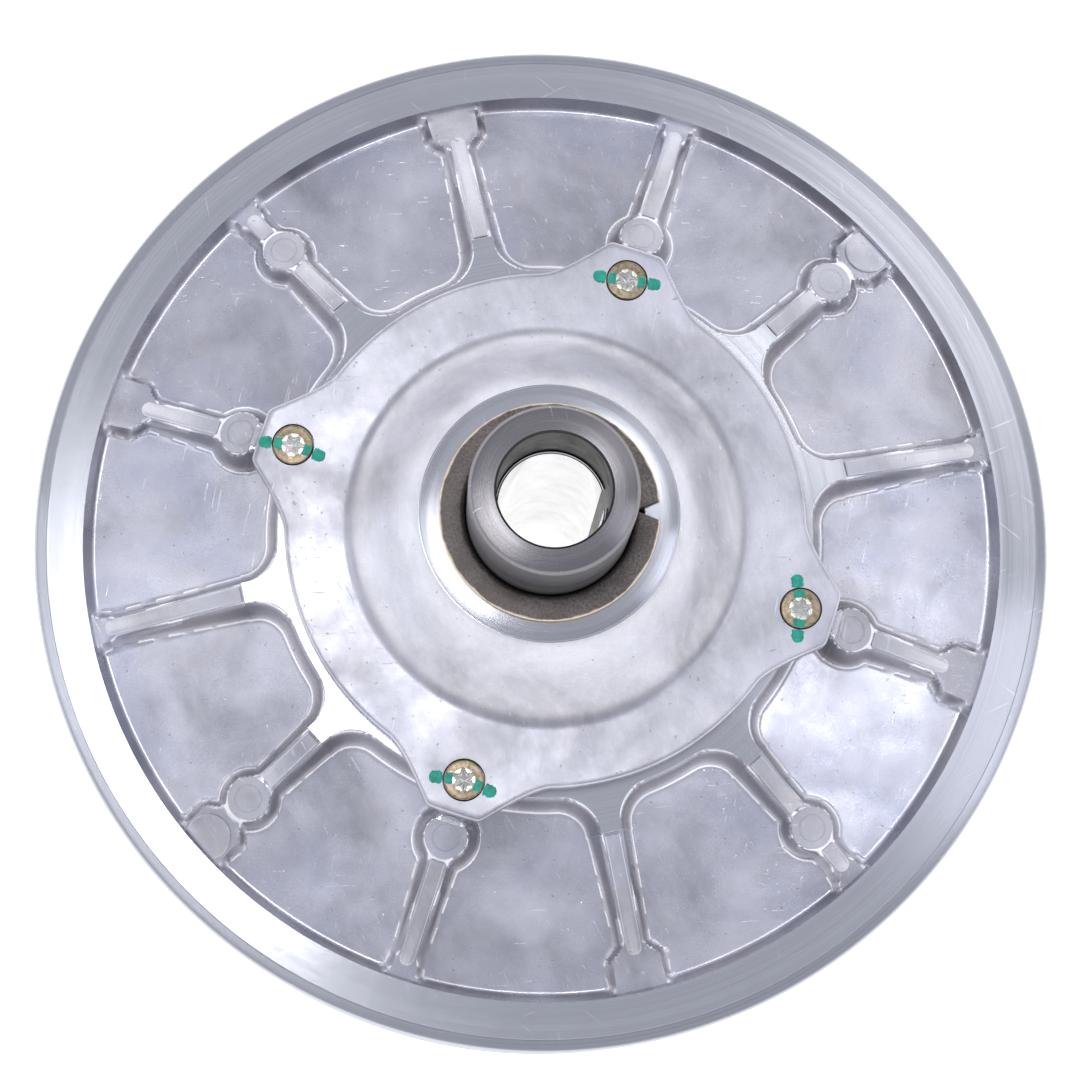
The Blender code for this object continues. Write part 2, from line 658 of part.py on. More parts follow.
def ring_slot(bottom, top):
    """Straight slot of the wrapped bush, through the tube and the flange."""
    solid = bmesh.new()
    near = POST_BORE_RADIUS
    far = COVER_BUSH_FLANGE_RADIUS + 0.0030
    half = BUSH_SPLIT_HALF
    outline = [(near, -half), (far, -half), (far, half), (near, half)]
    add_prism(solid, outline, lambda x, y: bottom - 0.0010, lambda x, y: top + 0.0010)
    turn = Matrix.Rotation(BUSH_SPLIT_ANGLE, 4, "Z")
    bmesh.ops.transform(solid, matrix=turn, verts=solid.verts)
    return object_from_bmesh("bush_slot", solid)


def vee_slot(bottom, top):
    """V that the slot opens into across the flange."""
    solid = bmesh.new()
    apex = COVER_BUSH_RADIUS - 0.0010
    reach = COVER_BUSH_FLANGE_RADIUS + 0.0030
    half = BUSH_SPLIT_RIM_HALF * (reach - apex) / (COVER_BUSH_FLANGE_RADIUS - apex)
    outline = [(apex, 0.0), (reach, -half), (reach, half)]
    add_prism(solid, outline, lambda x, y: bottom - 0.0001, lambda x, y: top + 0.0010)
    turn = Matrix.Rotation(BUSH_SPLIT_ANGLE, 4, "Z")
    bmesh.ops.transform(solid, matrix=turn, verts=solid.verts)
    return object_from_bmesh("bush_vee", solid)


def make_sheave_bush():
    bush = ring("sheave_bush", BUSH_BORE, SHEAVE_HUB_BORE - GAP, SHEAVE_BOTTOM + GAP,
                SHEAVE_HUB_TOP - GAP, BODY_SEGMENTS)
    return finish(bush, sliding_bronze("sheave_bush_bronze"))


# ---------------------------------------------------------------- spider, rollers and ramps

def roller_angles():
    return around(ROLLER_COUNT, FIRST_ROLLER_ANGLE)


def radial_piece(piece, angle):
    """Lays a piece that was turned about Z along the radius at an angle, at roller height."""
    piece.location = (0.0, 0.0, ROLLER_HEIGHT)
    piece.rotation_euler = (0.0, 0.5 * math.pi, angle)
    return piece


def radial_cylinders(name, radius, start, end, sides):
    solid = bmesh.new()
    for angle in roller_angles():
        part = bmesh.new()
        add_prism(part, circle_outline((0.0, 0.0), radius, sides), lambda x, y: start,
                  lambda x, y: end)
        place = Matrix.Translation(Vector((0.0, 0.0, ROLLER_HEIGHT)))
        place = place @ Matrix.Rotation(angle, 4, "Z") @ Matrix.Rotation(0.5 * math.pi, 4, "Y")
        bmesh.ops.transform(part, matrix=place, verts=part.verts)
        mesh = bpy.data.meshes.new("radial")
        part.to_mesh(mesh)
        part.free()
        solid.from_mesh(mesh)
        bpy.data.meshes.remove(mesh)
    return object_from_bmesh(name, solid)


def make_spider():
    inner = SPIDER_RADIUS - SPIDER_WALL
    underside = SPIDER_TOP - SPIDER_PLATE
    profile = [
        (BUSH_BORE, SPIDER_HUB_BOTTOM),
        (SPIDER_HUB_RADIUS, SPIDER_HUB_BOTTOM),
        (SPIDER_HUB_RADIUS, underside),
        (inner, underside),
        (inner, SPIDER_BOTTOM),
        (SPIDER_RADIUS, SPIDER_BOTTOM),
        (SPIDER_RADIUS, underside),
        (SPIDER_RADIUS - 0.0040, SPIDER_TOP),
        (BUSH_BORE, SPIDER_TOP),
    ]
    spider = turned("spider", profile, BODY_SEGMENTS)
    bosses = radial_cylinders("spider_bosses", PIN_BOSS_RADIUS, inner + 0.0010, PIN_BOSS_END,
                              SCREW_SEGMENTS)
    pin_holes = radial_cylinders("spider_pin_holes", PIN_RADIUS + GAP, inner - 0.0050,
                                 PIN_BOSS_END + 0.0010, SCREW_SEGMENTS)
    join(spider, bosses)
    cut(spider, pin_holes)
    return finish(spider, cast_aluminium("spider_aluminium"))


def make_rollers():
    washer_start = ROLLER_OUTER_END + GAP
    washer_end = PIN_HEAD_START - GAP
    roller_profile = [
        (ROLLER_BORE, ROLLER_INNER_END),
        (ROLLER_RADIUS - 0.0006, ROLLER_INNER_END),
        (ROLLER_RADIUS, ROLLER_INNER_END + 0.0006),
        (ROLLER_RADIUS, ROLLER_OUTER_END - 0.0006),
        (ROLLER_RADIUS - 0.0006, ROLLER_OUTER_END),
        (ROLLER_BORE, ROLLER_OUTER_END),
    ]
    pin_profile = [
        (0.0, PIN_INNER_END),
        (PIN_RADIUS, PIN_INNER_END),
        (PIN_RADIUS, PIN_HEAD_START),
        (PIN_HEAD_RADIUS, PIN_HEAD_START),
        (PIN_HEAD_RADIUS, PIN_HEAD_END),
        (0.0, PIN_HEAD_END),
    ]
    roller = turned("roller_1", roller_profile, SMALL_SEGMENTS)
    pin = turned("roller_pin_1", pin_profile, SCREW_SEGMENTS)
    washer = ring("roller_washer_1", ROLLER_BORE, WASHER_RADIUS, washer_start, washer_end, SCREW_SEGMENTS)
    finish(roller, black_polymer("roller_polymer"))
    finish(pin, hardened_steel("roller_pin_steel"))
    finish(washer, hardened_steel("roller_washer_steel"))
    for index, angle in enumerate(roller_angles()):
        for stem, first in (("roller", roller), ("roller_pin", pin), ("roller_washer", washer)):
            piece = first if index == 0 else link_object(f"{stem}_{index + 1}", first.data)
            radial_piece(piece, angle)


def make_helix_ring():
    """Three helical ramps on a thin ring that lies on the floor of the sheave's chamber."""
    lead = SHEAVE_TRAVEL / SHEAVE_TWIST
    bottom = CHAMBER_FLOOR + GAP
    helix = ring("helix_ring", RAMP_RING_INNER, RAMP_OUTER_RADIUS, bottom, RAMP_RING_TOP,
                 SHEAVE_SEGMENTS)
    under_roller = ROLLER_HEIGHT - RAMP_BELOW_ROLLER
    low_turn = (under_roller - RAMP_RING_TOP + 0.0003) / lead
    steps = 9
    ramps = bmesh.new()
    for roller_angle in roller_angles():
        rows = []
        for index in range(steps + 1):
            offset = -low_turn + (low_turn + RAMP_RUN_ON) * index / steps
            top = under_roller + lead * offset
            row = []
            for radius, height in ((RAMP_INNER_RADIUS, bottom + 0.0003), (RAMP_INNER_RADIUS, top),
                                   (RAMP_OUTER_RADIUS - GAP, top),
                                   (RAMP_OUTER_RADIUS - GAP, bottom + 0.0003)):
                x, y = at_angle(radius, roller_angle + offset)
                row.append(ramps.verts.new((x, y, height)))
            rows.append(row)
        for first, second in zip(rows, rows[1:]):
            for corner in range(4):
                after = (corner + 1) % 4
                ramps.faces.new((first[corner], first[after], second[after], second[corner]))
        ramps.faces.new(rows[0])
        ramps.faces.new(list(reversed(rows[-1])))
    join(helix, object_from_bmesh("helix_ramps", ramps))
    return finish(helix, hardened_steel("helix_ring_steel"))


# ---------------------------------------------------------------- spring and its seats

def spring_ends():
    """Heights of the spring's lower and upper end."""
    low = CHAMBER_FLOOR + GAP + SPRING_WASHER_THICKNESS + GAP
    high = SPIDER_TOP - SPIDER_PLATE - GAP - SPRING_SEAT_THICKNESS - GAP
    return low, high


def make_spring():
    """Open coil with its end turns wound close."""
    low, high = spring_ends()
    low += SPRING_WIRE_RADIUS
    high -= SPRING_WIRE_RADIUS
    per_turn = 14
    count = int(SPRING_TURNS * per_turn)
    curve = bpy.data.curves.new("spring", "CURVE")
    curve.dimensions = "3D"
    curve.bevel_depth = SPRING_WIRE_RADIUS
    curve.bevel_resolution = 1
    curve.use_fill_caps = True
    spline = curve.splines.new("POLY")
    spline.points.add(count)
    for index in range(count + 1):
        t = index / count
        end_hold = 0.5 - 0.5 * math.cos(math.pi * t)
        rise = 0.35 * end_hold + 0.65 * t
        x, y = at_angle(SPRING_RADIUS, 2.0 * math.pi * SPRING_TURNS * t)
        spline.points[index].co = (x, y, low + (high - low) * rise, 1.0)
    spring = bpy.data.objects.new("spring", curve)
    bpy.context.scene.collection.objects.link(spring)
    curve.materials.append(spring_steel("spring_steel"))
    return spring


def make_spring_washer():
    bottom = CHAMBER_FLOOR + GAP
    washer = ring("spring_washer", SHEAVE_HUB_RADIUS + GAP, SPRING_WASHER_RADIUS, bottom,
                  bottom + SPRING_WASHER_THICKNESS, BODY_SEGMENTS)
    return finish(washer, black_polymer("spring_washer_polymer"))


def make_spring_seat():
    top = SPIDER_TOP - SPIDER_PLATE - GAP
    seat = ring("spring_seat", SHEAVE_HUB_RADIUS + GAP, SPIDER_RADIUS - SPIDER_WALL - GAP,
                top - SPRING_SEAT_THICKNESS, top, BODY_SEGMENTS)
    return finish(seat, hardened_steel("spring_seat_steel"))


def main():
    clear_scene()
    make_fixed_sheave()
    make_post()
    make_flange_screws()
    make_movable_sheave()
    make_sheave_bush()
    make_helix_ring()
    make_spring_washer()
    make_spring()
    make_spring_seat()
    make_spider()
    make_rollers()
    make_retaining_ring()
    make_cover()
    make_cover_bush()
    make_cover_screws()


main()
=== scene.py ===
"""Looks of the driven pulley: finer surfaces, materials, studio and camera around the CAD frame."""

import math

import bpy
import numpy as np
from mathutils import Matrix, Vector


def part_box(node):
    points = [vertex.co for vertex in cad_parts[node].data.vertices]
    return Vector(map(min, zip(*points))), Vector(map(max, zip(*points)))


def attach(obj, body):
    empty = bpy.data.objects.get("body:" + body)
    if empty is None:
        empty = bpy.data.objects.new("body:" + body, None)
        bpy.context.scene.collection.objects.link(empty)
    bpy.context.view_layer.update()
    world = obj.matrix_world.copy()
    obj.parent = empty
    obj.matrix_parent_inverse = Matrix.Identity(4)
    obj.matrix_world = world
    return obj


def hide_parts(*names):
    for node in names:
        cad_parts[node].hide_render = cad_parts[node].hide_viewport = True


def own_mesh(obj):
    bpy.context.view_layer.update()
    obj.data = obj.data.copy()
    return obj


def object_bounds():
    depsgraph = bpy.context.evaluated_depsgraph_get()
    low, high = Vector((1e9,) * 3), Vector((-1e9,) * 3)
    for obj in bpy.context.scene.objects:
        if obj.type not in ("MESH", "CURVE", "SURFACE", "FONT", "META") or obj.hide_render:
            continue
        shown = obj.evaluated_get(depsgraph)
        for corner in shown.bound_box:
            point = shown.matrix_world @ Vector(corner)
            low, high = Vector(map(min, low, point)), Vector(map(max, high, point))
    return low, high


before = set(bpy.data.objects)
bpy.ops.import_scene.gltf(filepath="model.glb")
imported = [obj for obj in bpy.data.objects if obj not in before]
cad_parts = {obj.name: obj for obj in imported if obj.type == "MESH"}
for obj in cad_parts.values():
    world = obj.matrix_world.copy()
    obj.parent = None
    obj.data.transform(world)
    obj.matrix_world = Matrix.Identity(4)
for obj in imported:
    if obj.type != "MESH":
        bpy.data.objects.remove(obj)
cad_low, cad_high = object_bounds()

# Places read from the frame, in metres
MOVABLE_LOW, MOVABLE_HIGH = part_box("movable_sheave")
FIXED_LOW, FIXED_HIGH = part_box("fixed_sheave")
COVER_LOW, COVER_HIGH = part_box("cover")
BUSH_LOW, BUSH_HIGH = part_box("cover_bush")
POST_LOW, POST_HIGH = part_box("post_shaft")
SCREW_LOW, SCREW_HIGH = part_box("cover_screw_1")
SHEAVE_RADIUS = MOVABLE_HIGH.x
HUB_FACE_TOP = MOVABLE_HIGH.z

# Shape of the sheaves, in metres; heights count from the groove's middle plane
GROOVE_MIDDLE = 0.0425
GROOVE_RIM_HALF = 0.0175
BELT_FACE_ANGLE = math.radians(13.0)
HUB_FACE_HEIGHT = HUB_FACE_TOP - GROOVE_MIDDLE
RIM_FACE_HEIGHT = 0.0242
RIM_INNER_RADIUS = 0.1259
RIB_DROP = 0.0010
HUB_FACE_RADIUS = 0.0836
HUB_POCKET_RADIUS = 0.0729
HUB_POCKET_CORNER = 0.0100
RIB_COUNT = 12
RIB_PITCH = 2.0 * math.pi / RIB_COUNT
FIRST_RIB_ANGLE = math.radians(12.2)
RIB_HALF_WIDTH = 0.0030
PAD_HALF_WIDTH = 0.0070
PAD_START = 0.1125
PAD_FULL = 0.1180
BOSS_RADIUS = 0.0063
BOSS_RISE = 0.0006
WALL_SLOPE = 4.2
RIM_GROOVE_RADIUS = 0.1365
MIDDLE_BOSS_CENTRE = 0.1077
INNER_BOSS_CENTRE = 0.0872
SCREW_CIRCLE = 0.0719
SCREW_COUNT = 4
FIRST_SCREW_ANGLE = math.radians(72.2)
BUSH_SPLIT_ANGLE = math.radians(1.0)
MOVABLE_COLUMNS = 912
FIXED_COLUMNS = 480
ROUND_COLUMNS = 240


# ---------------------------------------------------------------- mesh helpers

def add_object(name, data):
    piece = bpy.data.objects.new(name, data)
    bpy.context.scene.collection.objects.link(piece)
    return piece


def link_mesh(name, points, faces, smooth=True):
    mesh = bpy.data.meshes.new(name)
    mesh.from_pydata(points, [], faces)
    mesh.validate()
    mesh.update()
    piece = add_object(name, mesh)
    if smooth:
        mesh.shade_smooth()
    return piece


def ring_mesh(name, rows, sharp_angle=32.0):
    """Closed mesh from rows of points, shape (rows, columns, 3); rows and columns both wrap around."""
    count, columns = rows.shape[:2]
    index = np.arange(count * columns).reshape(count, columns)
    after_row = np.roll(index, -1, axis=0)
    after_column = np.roll(index, -1, axis=1)
    after_both = np.roll(after_row, -1, axis=1)
    quads = np.stack([index, after_row, after_both, after_column], axis=-1).reshape(-1, 4)
    points = rows.reshape(-1, 3)
    a, b, c, d = (points[quads[:, k]] for k in range(4))
    volume = np.einsum("ij,ij->i", a, np.cross(b, c)).sum()
    volume += np.einsum("ij,ij->i", a, np.cross(c, d)).sum()
    if volume < 0.0:
        quads = quads[:, ::-1]
    mesh = bpy.data.meshes.new(name)
    mesh.vertices.add(len(points))
    mesh.vertices.foreach_set("co", points.astype(np.float32).ravel())
    mesh.loops.add(quads.size)
    mesh.loops.foreach_set("vertex_index", quads.astype(np.int32).ravel())
    mesh.polygons.add(len(quads))
    mesh.polygons.foreach_set("loop_start", np.arange(0, quads.size, 4, dtype=np.int32))
    mesh.update(calc_edges=True)
    mesh.validate()
    piece = add_object(name, mesh)
    smooth_with_edges(piece, sharp_angle)
    return piece


def smooth_with_edges(piece, sharp_angle):
    piece.data.shade_smooth()
    piece.data.set_sharp_from_angle(angle=math.radians(sharp_angle))


def full_circle(columns):
    return np.linspace(0.0, 2.0 * math.pi, columns, endpoint=False)


def polar(radius, angle, height):
    """Points from radius, angle and height arrays that fit each other's shapes."""
    x = radius * np.cos(angle)
    y = radius * np.sin(angle)
    return np.stack([x, y, np.broadcast_to(height, x.shape)], axis=-1)


def tube_faces(base, columns, rows):
    """Quads between rows of points that wrap around, counted from a first point."""
    faces = []
    for low in range(base, base + (rows - 1) * columns, columns):
        for index in range(columns):
            after = (index + 1) % columns
            faces.append((low + index, low + after, low + columns + after, low + columns + index))
    return faces


def turned_rows(profile, columns):
    """Rows of a solid of revolution from (radius, height) points that go around its section."""
    radius = np.array([point[0] for point in profile])[:, None]
    height = np.array([point[1] for point in profile])[:, None]
    return polar(radius, full_circle(columns)[None, :], height)


def rounded(profile, radius, steps=3):
    """Rounds every corner of a closed (radius, height) profile, by no more than its short edges allow."""
    result = []
    count = len(profile)
    for index in range(count):
        corner = Vector(profile[index])
        before = Vector(profile[index - 1]) - corner
        after = Vector(profile[(index + 1) % count]) - corner
        cut = min(radius, 0.45 * before.length, 0.45 * after.length)
        start = corner + before.normalized() * cut
        end = corner + after.normalized() * cut
        for step in range(steps + 1):
            t = step / steps
            point = start.lerp(corner, t).lerp(corner.lerp(end, t), t)
            result.append((point.x, point.y))
    return result


def at_angle(radius, angle):
    return (radius * math.cos(angle), radius * math.sin(angle))


def around(count, first):
    return [first + 2.0 * math.pi * index / count for index in range(count)]


def smooth_min(a, b, width):
    blend = np.maximum(width - np.abs(a - b), 0.0)
    return np.minimum(a, b) - blend * blend / (4.0 * width)


def smooth_max(a, b, width):
    return -smooth_min(-a, -b, width)


def ease(t):
    t = np.clip(t, 0.0, 1.0)
    return t * t * (3.0 - 2.0 * t)


def rounded_and(first, second, radius):
    """Inside distance of two regions' overlap, its corner rounded by a radius."""
    corner = radius - np.hypot(np.maximum(radius - first, 0.0), np.maximum(radius - second, 0.0))
    plain = np.minimum(first, second)
    return np.where(plain >= radius, plain, corner)


# ---------------------------------------------------------------- sheave surfaces

def belt_face(radius):
    return GROOVE_RIM_HALF - (SHEAVE_RADIUS - radius) * math.tan(BELT_FACE_ANGLE)


def rib_top(radius, hub_radius):
    """Height of the rib tops, a straight slope from the hub face down to the rim."""
    span = RIM_INNER_RADIUS - hub_radius
    t = (radius - hub_radius) / span
    return HUB_FACE_HEIGHT - RIB_DROP + (RIM_FACE_HEIGHT - HUB_FACE_HEIGHT) * t


def rib_half_width(along, padded):
    widened = RIB_HALF_WIDTH + (PAD_HALF_WIDTH - RIB_HALF_WIDTH) * ease(
        (along - PAD_START) / (PAD_FULL - PAD_START))
    plain = RIB_HALF_WIDTH + 0.0009 * ease((along - PAD_FULL) / 0.006)
    return np.where(padded, widened, plain)


def boss_centre(kind):
    far_away = 1.0
    return np.where(kind == 1, MIDDLE_BOSS_CENTRE, np.where(kind == 2, INNER_BOSS_CENTRE, far_away))


def back_heights(radius, angle, hub_radius, pocket_radius, inner_corner, floor_inner, floor_outer,
                 with_bosses):
    """Heights of a sheave's ribbed back over the groove's middle plane."""
    turns = (angle - FIRST_RIB_ANGLE) / RIB_PITCH
    rib = np.floor(turns).astype(int) % RIB_COUNT
    from_first = (turns - np.floor(turns)) * RIB_PITCH
    top = np.where(radius <= hub_radius, HUB_FACE_HEIGHT, rib_top(radius, hub_radius))
    top = np.where(radius >= RIM_INNER_RADIUS, RIM_FACE_HEIGHT, top)
    sides = []
    for number, offset in ((rib, from_first), ((rib + 1) % RIB_COUNT, RIB_PITCH - from_first)):
        along = radius * np.cos(offset)
        off = radius * np.sin(offset)
        side = off - rib_half_width(along, number % 2 == 1)
        if with_bosses:
            centre = boss_centre(number % 3)
            from_boss = np.hypot(along - centre, off) - BOSS_RADIUS
            side = rounded_and(side, from_boss, 0.0020)
            rise = BOSS_RISE * ease(0.5 - from_boss / 0.0008)
            top = np.where((radius < RIM_INNER_RADIUS) & (radius > hub_radius), top + rise, top)
        sides.append(side)
    to_rim = RIM_INNER_RADIUS - radius
    to_hub = radius - pocket_radius
    inside = np.minimum(rounded_and(sides[0], to_hub, inner_corner),
                        rounded_and(sides[1], to_hub, inner_corner))
    inside = np.minimum(inside, rounded_and(sides[0], to_rim, 0.0028))
    inside = np.minimum(inside, rounded_and(sides[1], to_rim, 0.0028))
    along_pocket = radius * np.cos(from_first - 0.5 * RIB_PITCH)
    slope = (floor_outer[1] - floor_inner[1]) / (floor_outer[0] - floor_inner[0])
    floor = floor_inner[1] + slope * (along_pocket - floor_inner[0])
    wall = top - WALL_SLOPE * inside
    height = smooth_max(floor, smooth_min(top, wall, 0.0028), 0.0048)
    return np.where(inside < -0.0007, top, height)


def sheave(name, side, radii, rest_of_section, pattern, columns):
    """One sheave: a fine polar grid for its back, and a turned section for the rest."""
    angle = full_circle(columns)[None, :]
    radius = np.array(radii)[:, None]
    height = back_heights(radius, angle, **pattern)
    outer = radius > RIM_INNER_RADIUS + 0.0090
    edge = RIM_FACE_HEIGHT - rim_edge_drop(radius)
    height = np.where(outer, edge, height)
    back = polar(radius, angle, GROOVE_MIDDLE + side * height)
    section = turned_rows([(r, GROOVE_MIDDLE + side * h) for r, h in rest_of_section], columns)
    piece = ring_mesh(name, np.concatenate([back, section]), sharp_angle=38.0)
    row_is_turned = [1 if r >= RIM_INNER_RADIUS - 0.00001 else 0 for r in radii]
    row_is_turned += [1] * len(rest_of_section)
    slots = np.repeat(np.array(row_is_turned, dtype=np.int32), columns)
    piece.data.polygons.foreach_set("material_index", slots)
    return piece


def make_hub_face():
    """Skin of the machined hub face: round inside, its outer edge scalloped by the pockets."""
    margin = 0.0002
    half = RIB_HALF_WIDTH - margin
    corner = HUB_POCKET_CORNER + margin
    inner = HUB_POCKET_RADIUS - margin
    centre_off = half + corner
    centre_along = math.sqrt((inner + corner) ** 2 - centre_off ** 2)
    toward_axis = math.atan2(-centre_off, -centre_along)
    side = [(math.sqrt(HUB_FACE_RADIUS ** 2 - half ** 2), half)]
    for index in range(11):
        turn = -0.5 * math.pi + (toward_axis + 0.5 * math.pi) * index / 10.0
        side.append((centre_along + corner * math.cos(turn), centre_off + corner * math.sin(turn)))
    edge = [(math.atan2(off, along), math.hypot(along, off)) for along, off in side]
    outline = [(-turn, radius) for turn, radius in reversed(edge)] + edge
    last = edge[-1][0]
    for index in range(1, 12):
        outline.append((last + (RIB_PITCH - 2.0 * last) * index / 12.0, inner))
    angles = []
    radii = []
    for rib_angle in around(RIB_COUNT, FIRST_RIB_ANGLE):
        angles += [rib_angle + turn for turn, radius in outline]
        radii += [radius for turn, radius in outline]
    angle = np.array(angles)
    outer = np.array(radii)
    top = HUB_FACE_TOP
    bore = 0.0595
    section = ((bore, top - 0.0003), (bore, top + 0.00003), (outer - 0.0001, top + 0.00003),
               (outer, top - 0.00005), (outer, top - 0.0003))
    rows = [polar(radius, angle, height) for radius, height in section]
    return ring_mesh("machined_hub_face", np.array(rows), sharp_angle=20.0)


def rim_edge_drop(radius):
    """How far the rim's outer edge falls below its turned face: a faint bevel, then a round."""
    from_edge = SHEAVE_RADIUS - radius
    bevel = np.clip((0.0036 - from_edge) * 0.16, 0.0, None)
    round_radius = 0.0012
    inward = np.clip(round_radius - from_edge, 0.0, round_radius)
    groove = 0.00012 * (np.abs(radius - RIM_GROOVE_RADIUS) < 0.00001)
    return groove + bevel + round_radius - np.sqrt(np.maximum(round_radius ** 2 - inward ** 2, 0.0))


def spaced(start, stop, step):
    count = max(int(round((stop - start) / step)), 1)
    return [start + (stop - start) * index / count for index in range(count)]


def back_radii(inner, pocket_radius, hub_radius):
    radii = spaced(inner, pocket_radius - 0.0006, 0.0040)
    radii += spaced(pocket_radius - 0.0006, hub_radius - 0.0002, 0.0007)
    radii += [hub_radius - 0.0001, hub_radius + 0.0001]
    radii += spaced(hub_radius + 0.0005, RIM_INNER_RADIUS - 0.0030, 0.00070)
    radii += spaced(RIM_INNER_RADIUS - 0.0030, RIM_INNER_RADIUS + 0.0002, 0.0004)
    radii += [RIM_INNER_RADIUS + 0.0006]
    radii += [RIM_GROOVE_RADIUS - 0.00015, RIM_GROOVE_RADIUS]
    radii += spaced(RIM_GROOVE_RADIUS + 0.00015, SHEAVE_RADIUS - 0.0012, 0.0010)
    radii += spaced(SHEAVE_RADIUS - 0.0012, SHEAVE_RADIUS, 0.0003)
    return radii + [SHEAVE_RADIUS]


def belt_section(inner):
    """The rim's lower corner and the belt face, from the outside in."""
    section = [(SHEAVE_RADIUS, belt_face(SHEAVE_RADIUS) + 0.0008),
               (SHEAVE_RADIUS - 0.0003, belt_face(SHEAVE_RADIUS) + 0.0002)]
    return section + [(r, belt_face(r)) for r in (SHEAVE_RADIUS - 0.0010, 0.1100, 0.0800, inner)]


def make_movable_sheave():
    step_radius = 0.0658
    rest = belt_section(step_radius) + [
        (0.0605, belt_face(step_radius)),
        (0.0605, -0.0100),
        (0.0600, -0.0105),
        (0.0247, -0.0105),
        (0.0247, 0.0155),
        (0.0275, 0.0155),
        (0.0275, -0.0055),
        (0.0585, -0.0055),
    ]
    pattern = {
        "hub_radius": HUB_FACE_RADIUS,
        "pocket_radius": HUB_POCKET_RADIUS,
        "inner_corner": HUB_POCKET_CORNER,
        "floor_inner": (0.0770, 0.0280),
        "floor_outer": (0.1220, 0.0200),
        "with_bosses": True,
    }
    radii = back_radii(0.0590, pattern["pocket_radius"], pattern["hub_radius"])
    return sheave("movable_sheave_casting", 1.0, radii, rest, pattern, MOVABLE_COLUMNS)


def make_fixed_sheave():
    crest = 0.0645
    rest = belt_section(crest) + [
        (0.0615, belt_face(crest)),
        (0.0615, 0.0115),
        (0.0222, 0.0115),
        (0.0222, 0.0352),
        (0.0363, 0.0352),
        (0.0363, 0.0405),
        (0.0368, 0.0410),
        (0.0445, 0.0410),
        (0.0450, 0.0407),
    ]
    pattern = {
        "hub_radius": 0.0600,
        "pocket_radius": 0.0500,
        "inner_corner": 0.0060,
        "floor_inner": (0.0520, 0.0290),
        "floor_outer": (0.1220, 0.0200),
        "with_bosses": False,
    }
    radii = back_radii(0.0480, pattern["pocket_radius"], pattern["hub_radius"])
    return sheave("fixed_sheave_casting", -1.0, radii, rest, pattern, FIXED_COLUMNS)


# ---------------------------------------------------------------- cover

COVER_FLANGE_TOP = 0.0865
SCREW_SEAT = 0.0830
COVER_COLUMNS = 720
COVER_RADIUS = 0.0705
DOME_INNER_RADIUS = 0.0346
DOME_OUTER_RADIUS = 0.0552
DOME_TOP = 0.1074
LOBE_REACH = 0.0817
LOBE_TIP_HALF = 0.0070
LOBE_BASE_HALF = 0.0230


def cover_edge(angle):
    """Radius of the cover's outline at an angle: round, with a flat-tipped lobe at each screw."""
    pitch = 2.0 * math.pi / SCREW_COUNT
    turn = (angle - FIRST_SCREW_ANGLE + 0.5 * pitch) % pitch - 0.5 * pitch
    turn = np.abs(turn)
    tip_corner = math.atan2(LOBE_TIP_HALF, LOBE_REACH)
    base_corner = math.asin(LOBE_BASE_HALF / COVER_RADIUS)
    tip = LOBE_REACH / np.cos(turn)
    corner_radius = LOBE_REACH / math.cos(tip_corner)
    t = np.clip((turn - tip_corner) / (base_corner - tip_corner), 0.0, 1.0)
    flank = COVER_RADIUS + (corner_radius - COVER_RADIUS) * (1.0 - t) ** 1.7
    return smooth_min(tip, flank, 0.0016)


def cover_height(radius):
    """Height of the dome between the cover's boss ring and its flat flange."""
    t = np.clip((radius - DOME_INNER_RADIUS) / (DOME_OUTER_RADIUS - DOME_INNER_RADIUS), 0.0, 1.0)
    fall = 0.6 * ease(t) + 0.4 * (1.0 - (1.0 - t) ** 2)
    return COVER_FLANGE_TOP + (DOME_TOP - COVER_FLANGE_TOP) * (1.0 - fall)


